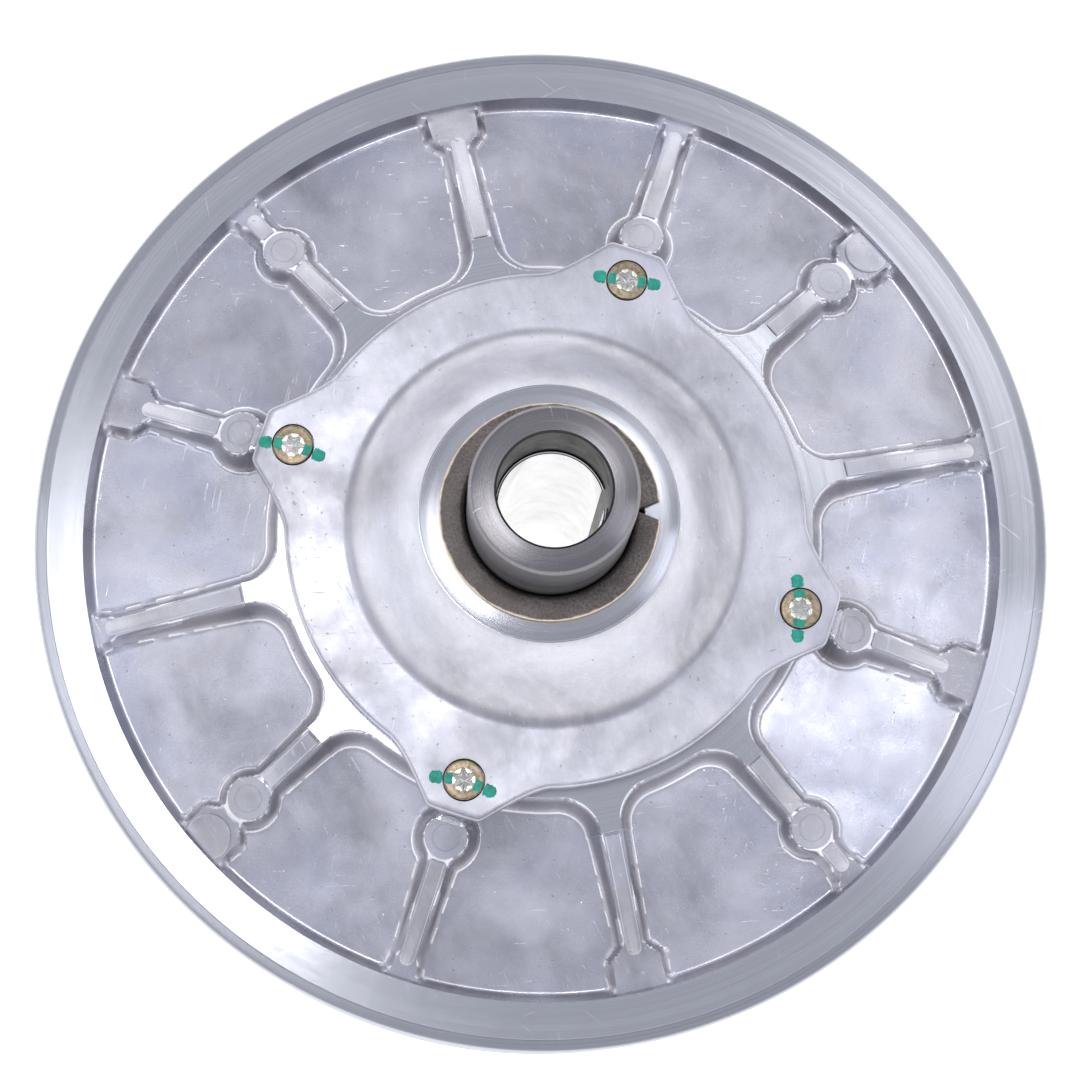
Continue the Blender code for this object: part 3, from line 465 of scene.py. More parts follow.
def make_cover():
    angle = full_circle(COVER_COLUMNS)
    edge = cover_edge(angle)
    rows = []

    def add_row(radius, height):
        rows.append(polar(radius, angle, height))

    bore = 0.0249
    ring = 0.0342
    top = COVER_HIGH.z
    for radius in (bore + 0.0003, 0.0300, ring - 0.0002):
        add_row(radius, top)
    add_row(ring, top - 0.0001)
    for radius in spaced(ring + 0.0003, 0.0580, 0.0006):
        add_row(radius, cover_height(radius))
    inner = 0.0580
    edge_round = 0.0010
    for t in spaced(0.0, 1.0, 0.05):
        radius = inner + (edge - edge_round - inner) * t
        add_row(radius, COVER_FLANGE_TOP)
    for step in range(4):
        turn = 0.5 * math.pi * step / 3.0
        add_row(edge - edge_round + edge_round * math.sin(turn),
                COVER_FLANGE_TOP - edge_round + edge_round * math.cos(turn))
    low = COVER_LOW.z
    inside = COVER_FLANGE_TOP - 0.0035
    for radius, height in ((edge, low + 0.0022), (edge - 0.0002, low + 0.0020), (0.0587, low + 0.0020),
                           (0.0587, low), (0.0563, low), (0.0563, inside)):
        add_row(radius, height)
    for radius in spaced(0.0500, 0.0350, -0.0015):
        t = (radius - 0.0350) / 0.0150
        add_row(radius, inside + 0.0185 * (1.0 - ease(t)))
    for radius, height in ((0.0290, 0.1015), (0.0290, 0.0988), (bore, 0.0988), (bore, top - 0.0003)):
        add_row(radius, height)
    piece = ring_mesh("lobed_cover", np.array(rows), sharp_angle=35.0)
    for number, angle in enumerate(around(SCREW_COUNT, FIRST_SCREW_ANGLE)):
        x, y = at_angle(SCREW_CIRCLE, angle)
        cutter = stepped_cutter(f"cover_seat_cutter_{number + 1}", (
            (0.0033, COVER_LOW.z - 0.0010), (0.0033, SCREW_SEAT), (0.0057, SCREW_SEAT),
            (0.0057, COVER_FLANGE_TOP - 0.0001), (0.0058, COVER_FLANGE_TOP + 0.0001), (0.0058, 0.0900)))
        cutter.location = (x, y, 0.0)
        subtract(piece, cutter)
    faces_to_slot(piece, 1, lambda centre, normal: centre.z > top - 0.00015 and normal.z > 0.9)
    return piece


def stepped_cutter(name, levels):
    """Upright plug with (radius, height) levels that bores holes and counterbores."""
    sides = 48
    points = []
    for radius, height in levels:
        for index in range(sides):
            points.append((*at_angle(radius, 2.0 * math.pi * index / sides), height))
    faces = tube_faces(0, sides, len(levels))
    faces.append(tuple(reversed(range(sides))))
    faces.append(tuple(range((len(levels) - 1) * sides, len(levels) * sides)))
    return link_mesh(name, points, faces, smooth=False)


def subtract(target, cutter):
    """Cuts with an exact boolean and applies it, so that no cutter is left in the scene."""
    modifier = target.modifiers.new(cutter.name, "BOOLEAN")
    modifier.operation = "DIFFERENCE"
    modifier.solver = "EXACT"
    modifier.object = cutter
    apply_modifiers(target)
    bpy.data.objects.remove(cutter)


def apply_modifiers(piece):
    bpy.context.view_layer.update()
    evaluated = piece.evaluated_get(bpy.context.evaluated_depsgraph_get())
    mesh = bpy.data.meshes.new_from_object(evaluated)
    old = piece.data
    piece.modifiers.clear()
    piece.data = mesh
    bpy.data.meshes.remove(old)


# ---------------------------------------------------------------- bush and post

def make_cover_bush():
    """Flanged bush wrapped from strip: its ends leave a slot that opens to a V across the flange."""
    bore = 0.0222
    tube = 0.0246
    flange = 0.0291
    bottom = BUSH_LOW.z
    seat = COVER_HIGH.z + 0.0003
    top = BUSH_HIGH.z
    section = rounded([(bore, bottom), (tube, bottom), (tube, seat), (flange, seat), (flange, top),
                       (bore + 0.0010, top), (bore, top - 0.0012)], 0.0006)
    columns = 241
    points = []
    for radius, height in section:
        opening = 0.0004 + max(radius - tube + 0.0012, 0.0) * 0.42 * (height > seat - 0.0002)
        half_angle = math.asin(opening / radius)
        for index in range(columns):
            t = index / (columns - 1)
            angle = BUSH_SPLIT_ANGLE + half_angle + (2.0 * math.pi - 2.0 * half_angle) * t
            x, y = at_angle(radius, angle)
            points.append((x, y, height))
    faces = []
    count = len(section)
    for row in range(count):
        after = (row + 1) % count
        for index in range(columns - 1):
            faces.append((row * columns + index, row * columns + index + 1,
                          after * columns + index + 1, after * columns + index))
    faces.append(tuple(row * columns for row in range(count)))
    faces.append(tuple(row * columns + columns - 1 for row in reversed(range(count))))
    return closed_mesh("flanged_bush", points, faces, 32.0)


def closed_mesh(name, points, faces, sharp_angle):
    """Links a closed mesh, turned outside out where its faces were listed inwards."""
    piece = link_mesh(name, points, faces)
    mesh = piece.data
    volume = 0.0
    for polygon in mesh.polygons:
        corners = [mesh.vertices[index].co for index in polygon.vertices]
        for second, third in zip(corners[1:], corners[2:]):
            volume += corners[0].dot(second.cross(third))
    if volume < 0.0:
        mesh.flip_normals()
    mesh.set_sharp_from_angle(angle=math.radians(sharp_angle))
    return piece


def make_post():
    outer = 0.0219
    bore = 0.0139
    mouth = 0.0147
    end = POST_HIGH.z
    mouth_floor = end - 0.0237
    flange = 0.0360
    groove = 0.0960
    profile = [
        (bore + 0.0010, 0.0), (flange - 0.0010, 0.0), (flange, 0.0010), (flange, 0.0066),
        (flange - 0.0004, 0.0070), (outer + 0.0010, 0.0070), (outer, 0.0080),
        (outer, groove), (0.0210, groove), (0.0210, groove + 0.0021), (outer, groove + 0.0021),
        (outer, end - 0.0011), (outer - 0.0002, end - 0.0008), (outer - 0.0008, end - 0.0001),
        (outer - 0.0010, end),
        (mouth + 0.0006, end), (mouth, end - 0.0006), (mouth, mouth_floor + 0.0006),
        (mouth - 0.0003, mouth_floor + 0.0001), (bore + 0.0002, mouth_floor),
        (bore, mouth_floor - 0.0002), (bore, 0.0010),
    ]
    piece = ring_mesh("hollow_post", turned_rows(profile, ROUND_COLUMNS))
    keyway = box_cutter("keyway_cutter", (0.0100, bore + 0.0018), (-0.0025, 0.0025),
                        (-0.0010, mouth_floor + 0.0010), math.radians(8.0))
    subtract(piece, keyway)
    for number in range(6):
        node_low, node_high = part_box(f"flange_screw_{number + 1}")
        centre = (node_low + node_high) * 0.5
        cutter = stepped_cutter(f"flange_cutter_{number + 1}", (
            (0.0058, -0.0010), (0.0058, 0.0044), (0.0033, 0.0044), (0.0033, 0.0080)))
        cutter.location = (centre.x, centre.y, 0.0)
        subtract(piece, cutter)
    smooth_with_edges(piece, 30.0)
    mouth_wall = mouth + 0.0003
    lip = mouth_floor + 0.0003
    chamfer = end - 0.0009
    faces_to_slot(piece, 1, lambda centre, normal: abs(normal.z) < 0.9 and centre.z < chamfer
                  and centre.xy.length > mouth_wall)
    # Slot 2, the steel wall of the mouth, takes a near-black material: painted shade in the mouth of the
    # post.
    faces_to_slot(piece, 2, lambda centre, normal: centre.xy.length < mouth_wall
                  and lip < centre.z < end - 0.0001)
    faces_to_slot(piece, 3, lambda centre, normal: centre.xy.length < mouth_wall and centre.z < lip)
    return piece


def box_cutter(name, x_range, y_range, z_range, turn):
    points = [(x, y, z) for z in z_range for x, y in ((x_range[0], y_range[0]),
                                                      (x_range[1], y_range[0]),
                                                      (x_range[1], y_range[1]),
                                                      (x_range[0], y_range[1]))]
    faces = [(3, 2, 1, 0), (4, 5, 6, 7), (0, 1, 5, 4), (1, 2, 6, 5), (2, 3, 7, 6), (3, 0, 4, 7)]
    piece = link_mesh(name, points, faces, smooth=False)
    piece.rotation_euler = (0.0, 0.0, turn)
    return piece


# ---------------------------------------------------------------- screws and paint

def screw_rows(head_radius, head_height, shank_radius, length):
    """Low round head with a six-lobed socket, and its shank; the head's top is at z = 0."""
    angle = full_circle(144)
    lobes = 0.00235 + 0.00042 * np.cos(6.0 * angle)
    edge = 0.00045
    section = [(0.00002, -0.0027), (0.0008, -0.0025), (lobes * 0.75, -0.0021), (lobes * 0.96, -0.0018),
               (lobes, -0.0016), (lobes, -0.0003), (lobes + 0.00020, -0.00005), (0.0031, 0.0),
               (0.0036, -0.00012), (head_radius - edge - 0.0003, -0.00006)]
    for step in range(5):
        turn = 0.5 * math.pi * step / 4.0
        section.append((head_radius - edge + edge * math.sin(turn), edge * (math.cos(turn) - 1.0) - 0.00008))
    section += [(head_radius, -head_height + 0.0003), (head_radius - 0.0003, -head_height),
                (shank_radius, -head_height), (shank_radius, -length + 0.0006),
                (shank_radius - 0.0006, -length), (0.00002, -length)]
    return np.array([polar(radius, angle, height) for radius, height in section])


def make_cover_screws():
    screws = []
    rows = screw_rows(head_radius=0.0054, head_height=0.0035, shank_radius=0.0029,
                      length=SCREW_HIGH.z - SCREW_LOW.z)
    for number, angle in enumerate(around(SCREW_COUNT, FIRST_SCREW_ANGLE)):
        turned_by = 0.7 * number + 0.2
        turn = np.array(Matrix.Rotation(turned_by, 3, "Z"))
        x, y = at_angle(SCREW_CIRCLE, angle)
        placed = rows @ turn.T + np.array([x, y, SCREW_HIGH.z])
        screw = ring_mesh(f"lobed_screw_{number + 1}", placed, sharp_angle=30.0)
        faces_to_slot(screw, 1, lambda centre, normal: centre.z > SCREW_HIGH.z - 0.0030
                      and math.hypot(centre.x - x, centre.y - y) < 0.0029)
        screws.append(screw)
    return screws


def paint_dab(start, end, width, height, blunt, seed):
    """Points and faces of one dab of paint: a thin pillow with ragged sides along a stroke."""
    random = np.random.default_rng(seed)
    direction = (end - start).normalized()
    across = Vector((-direction.y, direction.x, 0.0))
    steps = 16
    lanes = 8
    film = 0.00016
    ragged = random.uniform(0.86, 1.10, (2, steps + 1))
    points = []
    for index in range(steps + 1):
        t = index / steps
        toward_end = 2.0 * t - 1.0
        sharpness = blunt if toward_end < 0.0 else 0.2 * blunt
        taper = max(1.0 - abs(toward_end) ** sharpness, 0.0) ** 0.5
        centre = start.lerp(end, t)
        for lane in range(lanes + 1):
            s = 2.0 * lane / lanes - 1.0
            wobble = 1.0 + (ragged[0 if s < 0.0 else 1][index] - 1.0) * abs(s)
            place = centre + across * (0.5 * width * s * taper * wobble)
            lift = film * (1.0 - s ** 4) * (0.1 + 0.9 * taper)
            points.append((place.x, place.y, height + 0.00002 + lift))
    top_count = len(points)
    points += [(x, y, height - 0.00012) for x, y, z in points]
    faces = []
    row = lanes + 1
    for index in range(steps):
        for lane in range(lanes):
            corner = index * row + lane
            quad = (corner, corner + row, corner + row + 1, corner + 1)
            faces.append(quad)
            faces.append(tuple(top_count + k for k in reversed(quad)))
    border = list(range(row))
    border += [index * row + lanes for index in range(1, steps + 1)]
    border += [steps * row + lane for lane in range(lanes - 1, -1, -1)]
    border += [index * row for index in range(steps - 1, 0, -1)]
    for first, second in zip(border, border[1:] + border[:1]):
        faces.append((first, second, top_count + second, top_count + first))
    return points, faces


def make_paint_mark(number, angle, stroke_angle, bends):
    """Marking paint across one cover screw: dabs on the cover and on the head, broken at the gap."""
    x, y = at_angle(SCREW_CIRCLE, angle)
    centre = Vector((x, y, 0.0))
    spans = (
        (0.0057, 0.0094, COVER_FLANGE_TOP, 0.0034, 12.0),
        (0.0029, 0.0051, SCREW_HIGH.z - 0.00012, 0.0033, 40.0),
    )
    points = []
    faces = []
    for side, bend in ((-1.0, bends[0]), (1.0, bends[1])):
        turn = stroke_angle + bend
        out = Vector((math.cos(turn), math.sin(turn), 0.0)) * side
        for index, (near, far, height, width, blunt) in enumerate(spans):
            seed = 100 * number + 10 * index + int(side) + 1
            dab = paint_dab(centre + out * near, centre + out * far, width, height, blunt, seed)
            base = len(points)
            points += dab[0]
            faces += [tuple(base + k for k in face) for face in dab[1]]
    return closed_mesh(f"marking_paint_{number}", points, faces, 180.0)


# ---------------------------------------------------------------- raised details on the ribs

def rib_surface(along):
    return GROOVE_MIDDLE + rib_top(along, HUB_FACE_RADIUS)


def capsule(start, end, half, start_round, end_round):
    """Outline of a strip along X whose ends are rounded by a share of its half width, 0 to 1."""
    outline = []
    for centre, direction, share in ((end, 1.0, end_round), (start, -1.0, start_round)):
        radius = half * share
        for quarter in range(2):
            side = direction * (-1.0 if quarter == 0 else 1.0)
            for step in range(5):
                turn = 0.5 * math.pi * (step / 4.0 + quarter - 1.0)
                along = centre - direction * radius + direction * radius * math.cos(turn)
                off = side * (half - radius) + direction * radius * math.sin(turn)
                outline.append((along, off))
    return outline


def raised_pad(points, faces, angle, outline, centre_along, lift):
    """Low pad on a rib: sunk foot, bevelled edge, and a top that follows the rib's slope."""
    bevel = 0.00020
    levels = []
    for inset, height in ((0.0, -0.0010), (0.0, lift - 0.00016), (bevel, lift)):
        level = []
        for along, off in outline:
            inward_along = along - math.copysign(min(inset, abs(along - centre_along)), along - centre_along)
            inward_off = off - math.copysign(min(inset, abs(off)), off)
            x = inward_along * math.cos(angle) - inward_off * math.sin(angle)
            y = inward_along * math.sin(angle) + inward_off * math.cos(angle)
            level.append((x, y, rib_surface(inward_along) + height))
        levels.append(level)
    base = len(points)
    size = len(outline)
    for level in levels:
        points.extend(level)
    faces.extend(tube_faces(base, size, len(levels)))
    faces.append(tuple(base + index for index in reversed(range(size))))
    faces.append(tuple(base + (len(levels) - 1) * size + index for index in range(size)))


def rim_pad_outline():
    """D-shaped pad: a disc at a rib's outer end, cut straight by the rim."""
    radius = 0.0061
    centre = 0.1226
    flat = 0.1252
    reach = math.acos((flat - centre) / radius)
    outline = []
    for index in range(25):
        turn = reach + (2.0 * math.pi - 2.0 * reach) * index / 24.0
        outline.append((centre + radius * math.cos(turn), radius * math.sin(turn)))
    return outline, centre


def make_rib_details():
    """Raised strips along the ribs and D-shaped pads at two of their outer ends."""
    points = []
    faces = []
    half = 0.0020
    hub_end = HUB_FACE_RADIUS + 0.0006
    for index, angle in enumerate(around(RIB_COUNT, FIRST_RIB_ANGLE)):
        kind = index % 3
        outer_end = 0.1165 if index % 2 == 1 else 0.1225
        spans = [(hub_end, outer_end, 0.15, 1.0)]
        if kind == 1:
            spans = [(hub_end, MIDDLE_BOSS_CENTRE - BOSS_RADIUS - 0.0002, 0.15, 0.25)]
            if index % 2 == 0:
                spans.append((MIDDLE_BOSS_CENTRE + BOSS_RADIUS + 0.0002, outer_end, 0.25, 1.0))
        if kind == 2:
            spans = [(INNER_BOSS_CENTRE + BOSS_RADIUS + 0.0003, outer_end, 0.25, 1.0)]
        for start, end, start_round, end_round in spans:
            outline = capsule(start, end, half, start_round, end_round)
            raised_pad(points, faces, angle, outline, 0.5 * (start + end), 0.00050)
        if index in (1, 7):
            outline, centre = rim_pad_outline()
            raised_pad(points, faces, angle, outline, centre, 0.00060)
    return closed_mesh("rib_pads", points, faces, 30.0)


def make_ejector_marks():
    """Disc on each boss with the ring that an ejector pin leaves in a casting."""
    sides = 64
    ring_levels = ((0.0033, 0.00006), (0.00342, -0.00010), (0.00370, -0.00010), (0.00382, 0.00008),
                   (0.00560, 0.00008), (0.00600, -0.0009))
    points = []
    faces = []
    for index, angle in enumerate(around(RIB_COUNT, FIRST_RIB_ANGLE)):
        kind = index % 3
        if kind == 0:
            continue
        centre = MIDDLE_BOSS_CENTRE if kind == 1 else INNER_BOSS_CENTRE
        x, y = at_angle(centre, angle)
        base = len(points)
        points.append((x, y, rib_surface(centre) + BOSS_RISE + 0.00006))
        for radius, lift in ring_levels:
            for side in range(sides):
                turn = 2.0 * math.pi * side / sides
                dx, dy = at_angle(radius, turn)
                along = centre + radius * math.cos(turn - angle)
                points.append((x + dx, y + dy, rib_surface(along) + BOSS_RISE + lift))
        points.append((x, y, rib_surface(centre) - 0.0012))
        faces += [face[::-1] for face in tube_faces(base + 1, sides, len(ring_levels))]
        last = base + 1 + (len(ring_levels) - 1) * sides
        for side in range(sides):
            after = (side + 1) % sides
            faces.append((base, base + 1 + side, base + 1 + after))
            faces.append((last + after, last + side, last + sides))
    return closed_mesh("ejector_marks", points, faces, 25.0)


# ---------------------------------------------------------------- spring

def make_spring():
    low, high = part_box("spring")
    wire = 0.00225
    turns = 5.0
    radius = 0.0320
    per_turn = 40
    count = int(turns * per_turn)
    curve = bpy.data.curves.new("coil_spring", "CURVE")
    curve.dimensions = "3D"
    curve.bevel_depth = wire
    curve.bevel_resolution = 4
    curve.use_fill_caps = True
    spline = curve.splines.new("POLY")
    spline.points.add(count)
    start = low.z + wire
    end = high.z - wire
    for index in range(count + 1):
        t = index / count
        rise = 0.35 * (0.5 - 0.5 * math.cos(math.pi * t)) + 0.65 * t
        x, y = at_angle(radius, 2.0 * math.pi * turns * t)
        spline.points[index].co = (x, y, start + (end - start) * rise, 1.0)
    shape = add_object("coil_spring_curve", curve)
    bpy.context.view_layer.update()
    mesh = bpy.data.meshes.new_from_object(shape)
    bpy.data.objects.remove(shape)
    spring = add_object("coil_spring", mesh)
    mesh.shade_smooth()
    return spring


# ---------------------------------------------------------------- materials

class Shading:
    """A node material built step by step around one Principled shader."""

    def __init__(self, name, roughness, metallic=1.0):
        self.material = bpy.data.materials.new(name)
        self.material.use_nodes = True
        self.nodes = self.material.node_tree.nodes
        self.links = self.material.node_tree.links
        self.shader = self.nodes["Principled BSDF"]
        self.shader.inputs["Roughness"].default_value = roughness
        self.shader.inputs["Metallic"].default_value = metallic
        self.place = self.nodes.new("ShaderNodeTexCoord").outputs["Object"]

    def put(self, socket, value):
        if isinstance(value, bpy.types.NodeSocket):
            self.links.new(value, socket)
        else:
            socket.default_value = value

    def node(self, kind, **values):
        """New node with inputs set or linked by name, where _ stands for a space."""
        node = self.nodes.new("ShaderNode" + kind)
        for name, value in values.items():
            self.put(node.inputs[name.replace("_", " ")], value)
        return node

    def math(self, operation, first, second=0.0):
        node = self.node("Math")
        node.operation = operation
        self.put(node.inputs[0], first)
        self.put(node.inputs[1], second)
        return node.outputs[0]

    def noise(self, scale, detail=3.0, roughness=0.55, place=None, distortion=0.0):
        return self.node("TexNoise", Vector=place or self.place, Scale=scale, Detail=detail,
                         Roughness=roughness, Distortion=distortion).outputs["Fac"]

    def stretched(self, turn, stretch):
        """Object space turned about Z and stretched, for streaks in one direction."""
        node = self.node("Mapping")
        node.vector_type = "TEXTURE"
        self.put(node.inputs["Vector"], self.place)
        node.inputs["Rotation"].default_value = (0.0, 0.0, turn)
        node.inputs["Scale"].default_value = stretch
        return node.outputs[0]

    def split(self, vector):
        return self.node("SeparateXYZ", Vector=vector).outputs

    def upright(self):
        """How far the surface faces up, 0 on a wall to 1 on level ground."""
        return self.math("ABSOLUTE", self.split(self.node("NewGeometry").outputs["Normal"])[2])

    def radius(self):
        x, y, z = self.split(self.place)
        return self.math("SQRT", self.math("ADD", self.math("MULTIPLY", x, x), self.math("MULTIPLY", y, y)))

    def ring_place(self, radius_scale, height_scale, angle_scale):
        """Radius, height and angle as a vector, for marks that a lathe tool leaves."""
        x, y, z = self.split(self.place)
        angle = self.math("ARCTAN2", y, x)
        return self.node("CombineXYZ", X=self.math("MULTIPLY", self.radius(), radius_scale),
                         Y=self.math("MULTIPLY", z, height_scale),
                         Z=self.math("MULTIPLY", self.math("COSINE", angle), angle_scale)).outputs[0]

    def ramp(self, value, *stops):
        node = self.node("ValToRGB", Fac=value)
        elements = node.color_ramp.elements
        while len(elements) < len(stops):
            elements.new(0.5)
        for element, (position, color) in zip(elements, stops):
            element.position = position
            element.color = (*color, 1.0) if len(color) == 3 else color
        return node.outputs["Color"]

    def band(self, value, low, high, out_low=0.0, out_high=1.0):
        return self.node("MapRange", Value=value, From_Min=low, From_Max=high,
                         To_Min=out_low, To_Max=out_high).outputs[0]

    def mix(self, factor, first, second):
        node = self.node("Mix")
        node.data_type = "RGBA"
        self.put(node.inputs["Factor"], factor)
        self.put(node.inputs["A"], color4(first))
        self.put(node.inputs["B"], color4(second))
        return node.outputs["Result"]

    def bump(self, height, strength, distance, normal=None):
        node = self.node("Bump", Strength=strength, Distance=distance, Height=height)
        if normal is not None:
            self.put(node.inputs["Normal"], normal)
        return node.outputs[0]

    def brushed_around(self, anisotropic):
        """Highlights of turned metal, with the tool's marks running around Z."""
        tangent = self.node("Tangent")
        tangent.direction_type = "RADIAL"
        tangent.axis = "Z"
        self.shader.inputs["Anisotropic"].default_value = anisotropic
        self.shader.inputs["Anisotropic Rotation"].default_value = 0.25
        self.links.new(tangent.outputs[0], self.shader.inputs["Tangent"])

    def scratches(self, scale, seed_turn, threshold):
        """Thin straight hairlines in two directions, 0 to 1."""
        total = None
        for step, turn in enumerate((seed_turn, seed_turn + 1.1, seed_turn - 0.7)):
            lines = self.noise(scale, 1.0, 0.4, self.stretched(turn, (1.0, 26.0, 1.0)))
            patch = self.noise(26.0 + 7.0 * step, 1.0, 0.5)
            mask = self.band(patch, 0.52, 0.60)
            line = self.band(lines, threshold, threshold + 0.02)
            masked = self.math("MULTIPLY", line, mask)
            total = masked if total is None else self.math("MAXIMUM", total, masked)
        return total

    def color(self, value):
        self.put(self.shader.inputs["Base Color"], value)

    def roughness(self, value):
        self.put(self.shader.inputs["Roughness"], value)

    def normal(self, value):
        self.links.new(value, self.shader.inputs["Normal"])


def color4(value):
    if isinstance(value, tuple) and len(value) == 3:
        return (*value, 1.0)
    return value


def cast_aluminium(name, base, stain, roughness, metallic, painted_wall_shade):
    """Satin casting: cloudy tone, faint warm and blue stains, fine grain, hairlines and dings, with painted
    shade on its walls.
    """
    s = Shading(name, roughness, metallic)
    clouds = s.noise(34.0, 4.0, 0.55, distortion=0.5)
    tone = s.ramp(clouds, (0.33, tuple(0.72 * c for c in base)), (0.50, base),
                  (0.66, tuple(min(1.0, 1.15 * c) for c in base)))
    warm = s.band(s.noise(48.0, 2.0, 0.5, distortion=1.0), 0.54, 0.72, 0.0, stain)
    tone = s.mix(warm, tone, (0.78, 0.69, 0.66))
    blue = s.band(s.noise(38.0, 2.0, 0.5), 0.52, 0.70, 0.0, 2.0 * stain)
    tone = s.mix(blue, tone, (0.56, 0.60, 0.76))
    haze = s.noise(420.0, 4.0, 0.7, s.stretched(0.25, (1.0, 2.5, 1.0)))
    tone = s.mix(s.band(haze, 0.45, 0.75, 0.0, 0.22), tone, (0.86, 0.87, 0.92))
    dings = s.band(s.noise(640.0, 1.0, 0.5), 0.755, 0.775)
    tone = s.mix(s.math("MULTIPLY", dings, 0.5), tone, (0.26, 0.25, 0.26))
    lines = s.scratches(1500.0, 0.5, 0.72)
    tone = s.mix(s.math("MULTIPLY", lines, 0.45), tone, (0.92, 0.92, 0.95))
    grain = s.noise(2400.0, 2.0, 0.7)
    tone = s.mix(s.band(grain, 0.36, 0.64, 0.16, 0.0), tone, (0.30, 0.29, 0.31))
    # Painted shade: faces that turn from level towards upright are darkened towards near-black, by the
    # painted_wall_shade share.
    wall = s.band(s.upright(), 0.82, 0.35, 0.0, painted_wall_shade)
    tone = s.mix(wall, tone, (0.11, 0.10, 0.11))
    s.color(tone)
    s.roughness(s.band(s.noise(60.0, 4.0, 0.6), 0.32, 0.68, roughness - 0.07, roughness + 0.09))
    fine = s.bump(s.noise(1700.0, 3.0, 0.65), 0.07, 0.00018)
    wavy = s.bump(s.noise(30.0, 2.0, 0.45), 0.30, 0.0030, fine)
    s.normal(s.bump(s.math("SUBTRACT", lines, dings), 0.30, 0.0002, wavy))
    return s.material


def turned_metal(name, base, roughness, anisotropic, streak):
    """Lathe-turned face: circular streaks in tone and relief, highlights that fan out radially."""
    s = Shading(name, roughness)
    marks = s.noise(1.0, 3.0, 0.7, s.ring_place(3600.0, 3600.0, 0.8))
    wide = s.noise(1.0, 2.0, 0.5, s.ring_place(520.0, 520.0, 0.5))
    both = s.math("ADD", s.math("MULTIPLY", marks, 0.6), s.math("MULTIPLY", wide, 0.4))
    tone = s.ramp(both, (0.35, tuple((1.0 - streak) * c for c in base)),
                  (0.62, tuple(min(1.0, (1.0 + 0.6 * streak) * c) for c in base)))
    cloud = s.band(s.noise(30.0, 3.0, 0.6), 0.45, 0.70, 0.0, 0.30)
    tone = s.mix(cloud, tone, tuple(0.82 * c for c in base))
    lines = s.scratches(1700.0, 0.9, 0.735)
    tone = s.mix(s.math("MULTIPLY", lines, 0.3), tone, (0.90, 0.90, 0.92))
    s.color(tone)
    s.roughness(s.band(wide, 0.3, 0.7, roughness - 0.03, roughness + 0.05))
    s.normal(s.bump(marks, 0.06, 0.00008))
    s.brushed_around(anisotropic)
    return s.material


def bush_metal(name):
    """Dark grimy sliding layer, worn bright at the flange's edge."""
    s = Shading(name, 0.45, 0.9)
    mottle = s.noise(1500.0, 4.0, 0.7)
    patches = s.noise(120.0, 3.0, 0.6)
    tone = s.ramp(mottle, (0.35, (0.085, 0.072, 0.066)), (0.65, (0.25, 0.225, 0.215)))
    tone = s.mix(s.band(patches, 0.42, 0.66, 0.0, 0.55), tone, (0.10, 0.085, 0.080))
    wander = s.math("MULTIPLY", s.noise(210.0, 3.0, 0.6), 0.0014)
    worn = s.band(s.math("ADD", s.radius(), wander), 0.0292, 0.0296)
    tone = s.mix(worn, tone, (0.74, 0.62, 0.50))
    s.color(tone)
    s.roughness(s.band(mottle, 0.3, 0.7, 0.34, 0.58))
    s.normal(s.bump(mottle, 0.30, 0.00015))
    return s.material


def yellow_zinc(name):
    """Yellow chromate with a faint green and pink play of colour."""
    s = Shading(name, 0.36)
    play = s.noise(380.0, 2.0, 0.5, distortion=1.5)
    grime = s.noise(1100.0, 3.0, 0.65)
    tone = s.ramp(play, (0.30, (0.20, 0.21, 0.12)), (0.45, (0.40, 0.33, 0.20)),
                  (0.58, (0.45, 0.33, 0.27)), (0.72, (0.33, 0.32, 0.30)))
    tone = s.mix(s.band(grime, 0.45, 0.62, 0.0, 0.5), tone, (0.15, 0.12, 0.09))
    s.color(tone)
    s.roughness(s.band(s.noise(700.0), 0.3, 0.7, 0.28, 0.46))
    s.normal(s.bump(s.noise(1500.0, 3.0), 0.30, 0.00012))
    return s.material


def marking_paint(name):
    """Brittle paint, thin enough at the edges for the metal to dull it."""
    s = Shading(name, 0.40, 0.0)
    s.color(s.ramp(s.noise(420.0, 3.0, 0.6), (0.35, (0.006, 0.27, 0.19)), (0.65, (0.012, 0.46, 0.34))))
    s.roughness(s.band(s.noise(900.0), 0.3, 0.7, 0.34, 0.55))
    s.normal(s.bump(s.noise(1300.0, 3.0), 0.4, 0.0002))
    return s.material


def plain_metal(name, base, roughness):
    """Small steel parts: slight tone and gloss changes with a light film of oil."""
    s = Shading(name, roughness)
    film = s.noise(160.0, 3.0, 0.6)
    s.color(s.ramp(film, (0.3, tuple(0.75 * c for c in base)), (0.7, tuple(min(1.0, 1.2 * c) for c in base))))
    s.roughness(s.band(film, 0.3, 0.7, roughness - 0.07, roughness + 0.10))
    s.normal(s.bump(s.noise(1400.0), 0.08, 0.0001))
    return s.material


def moulded_polymer(name):
    s = Shading(name, 0.55, 0.0)
    grain = s.noise(900.0, 3.0, 0.6)
    s.color(s.ramp(grain, (0.3, (0.02, 0.02, 0.02)), (0.7, (0.06, 0.06, 0.062))))
    s.roughness(s.band(grain, 0.3, 0.7, 0.45, 0.62))
    s.normal(s.bump(grain, 0.2, 0.0002))
    return s.material


def give(piece, *materials):
    """Gives a piece its materials; the faces keep their slots."""
    slots = np.zeros(len(piece.data.polygons), dtype=np.int32)
    piece.data.polygons.foreach_get("material_index", slots)
    piece.data.materials.clear()
    for material in materials:
        piece.data.materials.append(material)
    piece.data.polygons.foreach_set("material_index", np.minimum(slots, len(materials) - 1))


def faces_to_slot(piece, slot, belongs):
    """Puts the faces whose centre and normal pass a test into a material slot."""
    for polygon in piece.data.polygons:
        if belongs(polygon.center, polygon.normal):
            polygon.material_index = slot


# ---------------------------------------------------------------- studio

